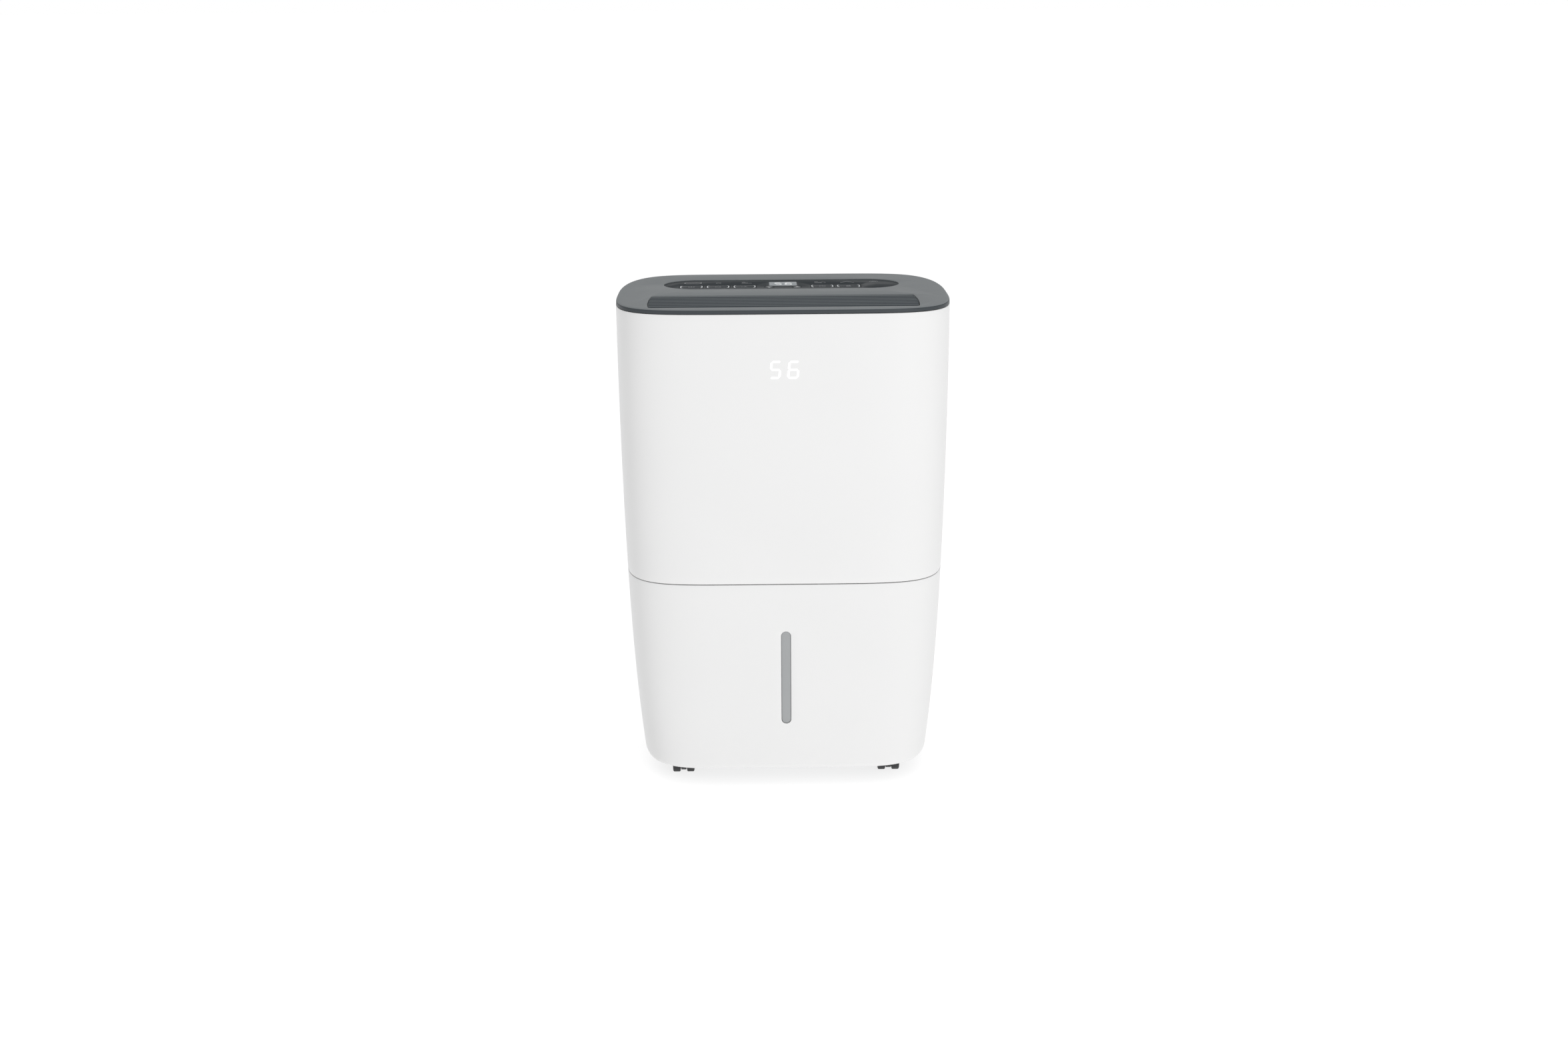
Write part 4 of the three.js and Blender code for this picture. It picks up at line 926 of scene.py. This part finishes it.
# ------------------------------------------------------------------ casters
for tag, cx, cy, lead in (("fl", -112, -77, -1), ("fr", 112, -77, -1), ("rl", -112, 80, 1), ("rr", 112, 80, 1)):
    yw, zc, R = cy + lead * 7, 12.0, 12.0
    sec = [(cx + u, v) for u, v in ((-12.6, 17.2), (-12.6, 19.5), (-9.0, 27.4), (9.0, 27.4), (12.6, 19.5), (12.6, 17.2))]
    ends = sorted((cy - lead * 14, yw + lead * 10))
    hood = prism("caster_hood_piece_" + tag, sec, ends[0], ends[1], "y")
    for x0, x1 in ((cx - 20, cx - 2.9), (cx + 2.9, cx + 20)):
        boolean(hood, prism("cut", circle(13.3, yw, zc, 48), x0, x1, "x"))
    bevel(hood, 0.7, 3, 30)
    smooth(hood, 38)
    web = prism("web", [(yw + 11 * math.cos(a), max(2.2, zc + 1.2 + 11 * math.sin(a))) for a in np.linspace(0, 2 * math.pi, 49)[:-1]], cx - 2.8, cx + 2.8, "x")
    boolean(web, prism("cut", circle(2.7, yw, zc, 24), cx - 10, cx + 10, "x"))
    smooth(bevel(web, 0.6, 3, 50), 38)
    stem = lathe("stem", [(0, 26.2), (7, 26.2), (7, 28.2), (3.2, 28.4), (3.0, 32.6), (2.6, 33), (0, 33)], cx, cy, 32)
    part(join("caster_body_" + tag, [hood, web, smooth(stem, 35)]), "black", "caster_" + tag, "black_plastic", "caster_hood_" + tag)
    ws = []
    for e in (-1, 1):
        a, b = (3.6, 11.6)
        prof = [(0, a), (10.8, a), (11.6, a + 0.25), (R, a + 1.1), (R, b - 1.3), (11.5, b - 0.4), (10.6, b), (9.2, b), (8.8, b - 0.7), (4.6, b - 0.9), (4.2, b - 0.2), (3.6, b), (0, b)]
        w = lathe("wheel", [(r, cx + e * h) for r, h in prof], yw, zc, 56, "x")
        ws.append(smooth(w, 35))
    ws.append(lathe("axle", [(0, cx - 6), (2.2, cx - 6), (2.2, cx + 6), (0, cx + 6)], yw, zc, 24, "x"))
    part(join("caster_wheels_" + tag, ws), "tyre", "wheels_" + tag, "wheel_tread", "caster_wheel_" + tag)

# ------------------------------------------------------------------ materials of the carried-over pieces
CARRIED = {
    "base_pan": "base", "control_board": "pcb", "front_display_module": "black", "partition": "inner", "drip_tray": "tray",
    "evaporator_coil": "aluminium", "condenser_coil": "aluminium", "compressor": "comp", "compressor_foot_1": "rubber",
    "compressor_foot_2": "rubber", "compressor_foot_3": "rubber", "accumulator": "comp", "suction_pipe": "copper",
    "discharge_pipe": "copper", "filter_drier": "copper", "capillary_tube": "copper", "fan_scroll": "inner",
    "motor_bracket": "steel", "fan_motor": "steel", "motor_shaft": "steel", "blower_wheel": "black", "control_box": "black",
    "run_capacitor": "inner", "humidity_sensor": "inner", "bucket_switch": "black", "tank_body": "tank", "tank_cover": "lid",
    "tank_handle": "tray", "tank_float": "foam",
}
for n, k in CARRIED.items():
    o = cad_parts[n]
    if not o.hide_render:
        paint(o, k)

# ------------------------------------------------------------------ floor, light
def area(name, loc, target, sx, sy, power, color=(1, 1, 1)):
    d = bpy.data.lights.new(name, "AREA")
    d.shape = "RECTANGLE"
    d.size, d.size_y, d.energy, d.color = sx, sy, power, color
    o = bpy.data.objects.new(name, d)
    o.location = loc
    o.rotation_euler = (Vector(target) - Vector(loc)).to_track_quat("-Z", "Y").to_euler()
    bpy.context.scene.collection.objects.link(o)
    return o


fl, nt, b = material("studio_floor")
v = coords(nt)
nt.links.new(ramp(nt, noise(nt, v, 3, 2), [(0.3, (0.36, 0.36, 0.36)), (0.7, (0.38, 0.38, 0.38))]), b.inputs["Base Color"])
b.inputs["Roughness"].default_value = 0.9
b.inputs["Specular IOR Level"].default_value = 0.0
b.inputs["Emission Color"].default_value = (1, 1, 1, 1)
b.inputs["Emission Strength"].default_value = 0.80
floor = mesh_object("studio_floor", [(-300000, -300000, -0.4), (300000, -300000, -0.4), (300000, 300000, -0.4), (-300000, 300000, -0.4)], [[0, 1, 2, 3]])
floor.data.materials.append(fl)

# Sky: white near the horizon, softer above, and above the horizon darker towards the two sides
w = bpy.data.worlds.new("studio")
bpy.context.scene.world = w
w.use_nodes = True
wt = w.node_tree
tc = wt.nodes.new("ShaderNodeTexCoord")
sep = wt.nodes.new("ShaderNodeSeparateXYZ")
wt.links.new(tc.outputs["Generated"], sep.inputs["Vector"])
up = ramp(wt, sep.outputs["Z"], [(0.0, (1.0, 1.0, 1.0)), (0.012, (1.0, 1.0, 1.0)), (0.03, (0.95, 0.95, 0.95)), (0.2, (0.60, 0.60, 0.60)), (1.0, (0.78, 0.78, 0.79))])
half = wt.nodes.new("ShaderNodeMath")
half.operation = "MULTIPLY_ADD"
half.inputs[1].default_value = 0.5
half.inputs[2].default_value = 0.5
wt.links.new(sep.outputs["X"], half.inputs[0])
side = ramp(wt, half.outputs[0], [(0.0, (0.55, 0.55, 0.55)), (0.35, (1.0, 1.0, 1.0)), (0.62, (1.0, 1.0, 1.0)), (1.0, (0.50, 0.50, 0.50))])
mul = wt.nodes.new("ShaderNodeMix")
mul.data_type = "RGBA"
mul.blend_type = "MULTIPLY"
above = ramp(wt, sep.outputs["Z"], [(0.0, (0.0, 0.0, 0.0)), (0.04, (0.0, 0.0, 0.0)), (0.22, (1.0, 1.0, 1.0))])
wt.links.new(above, mul.inputs["Factor"])
wt.links.new(up, mul.inputs["A"])
wt.links.new(side, mul.inputs["B"])
wt.links.new(mul.outputs["Result"], wt.nodes["Background"].inputs["Color"])
wt.nodes["Background"].inputs["Strength"].default_value = 1.0
area("key_right", (1.35, -2.6, 1.25), (0, 0, 0.25), 1.0, 2.0, 26)

sc = bpy.context.scene
sc.view_settings.view_transform = "Standard"
sc.view_settings.look = "None"
sc.view_settings.exposure = 0.0
sc.view_settings.gamma = 1.0
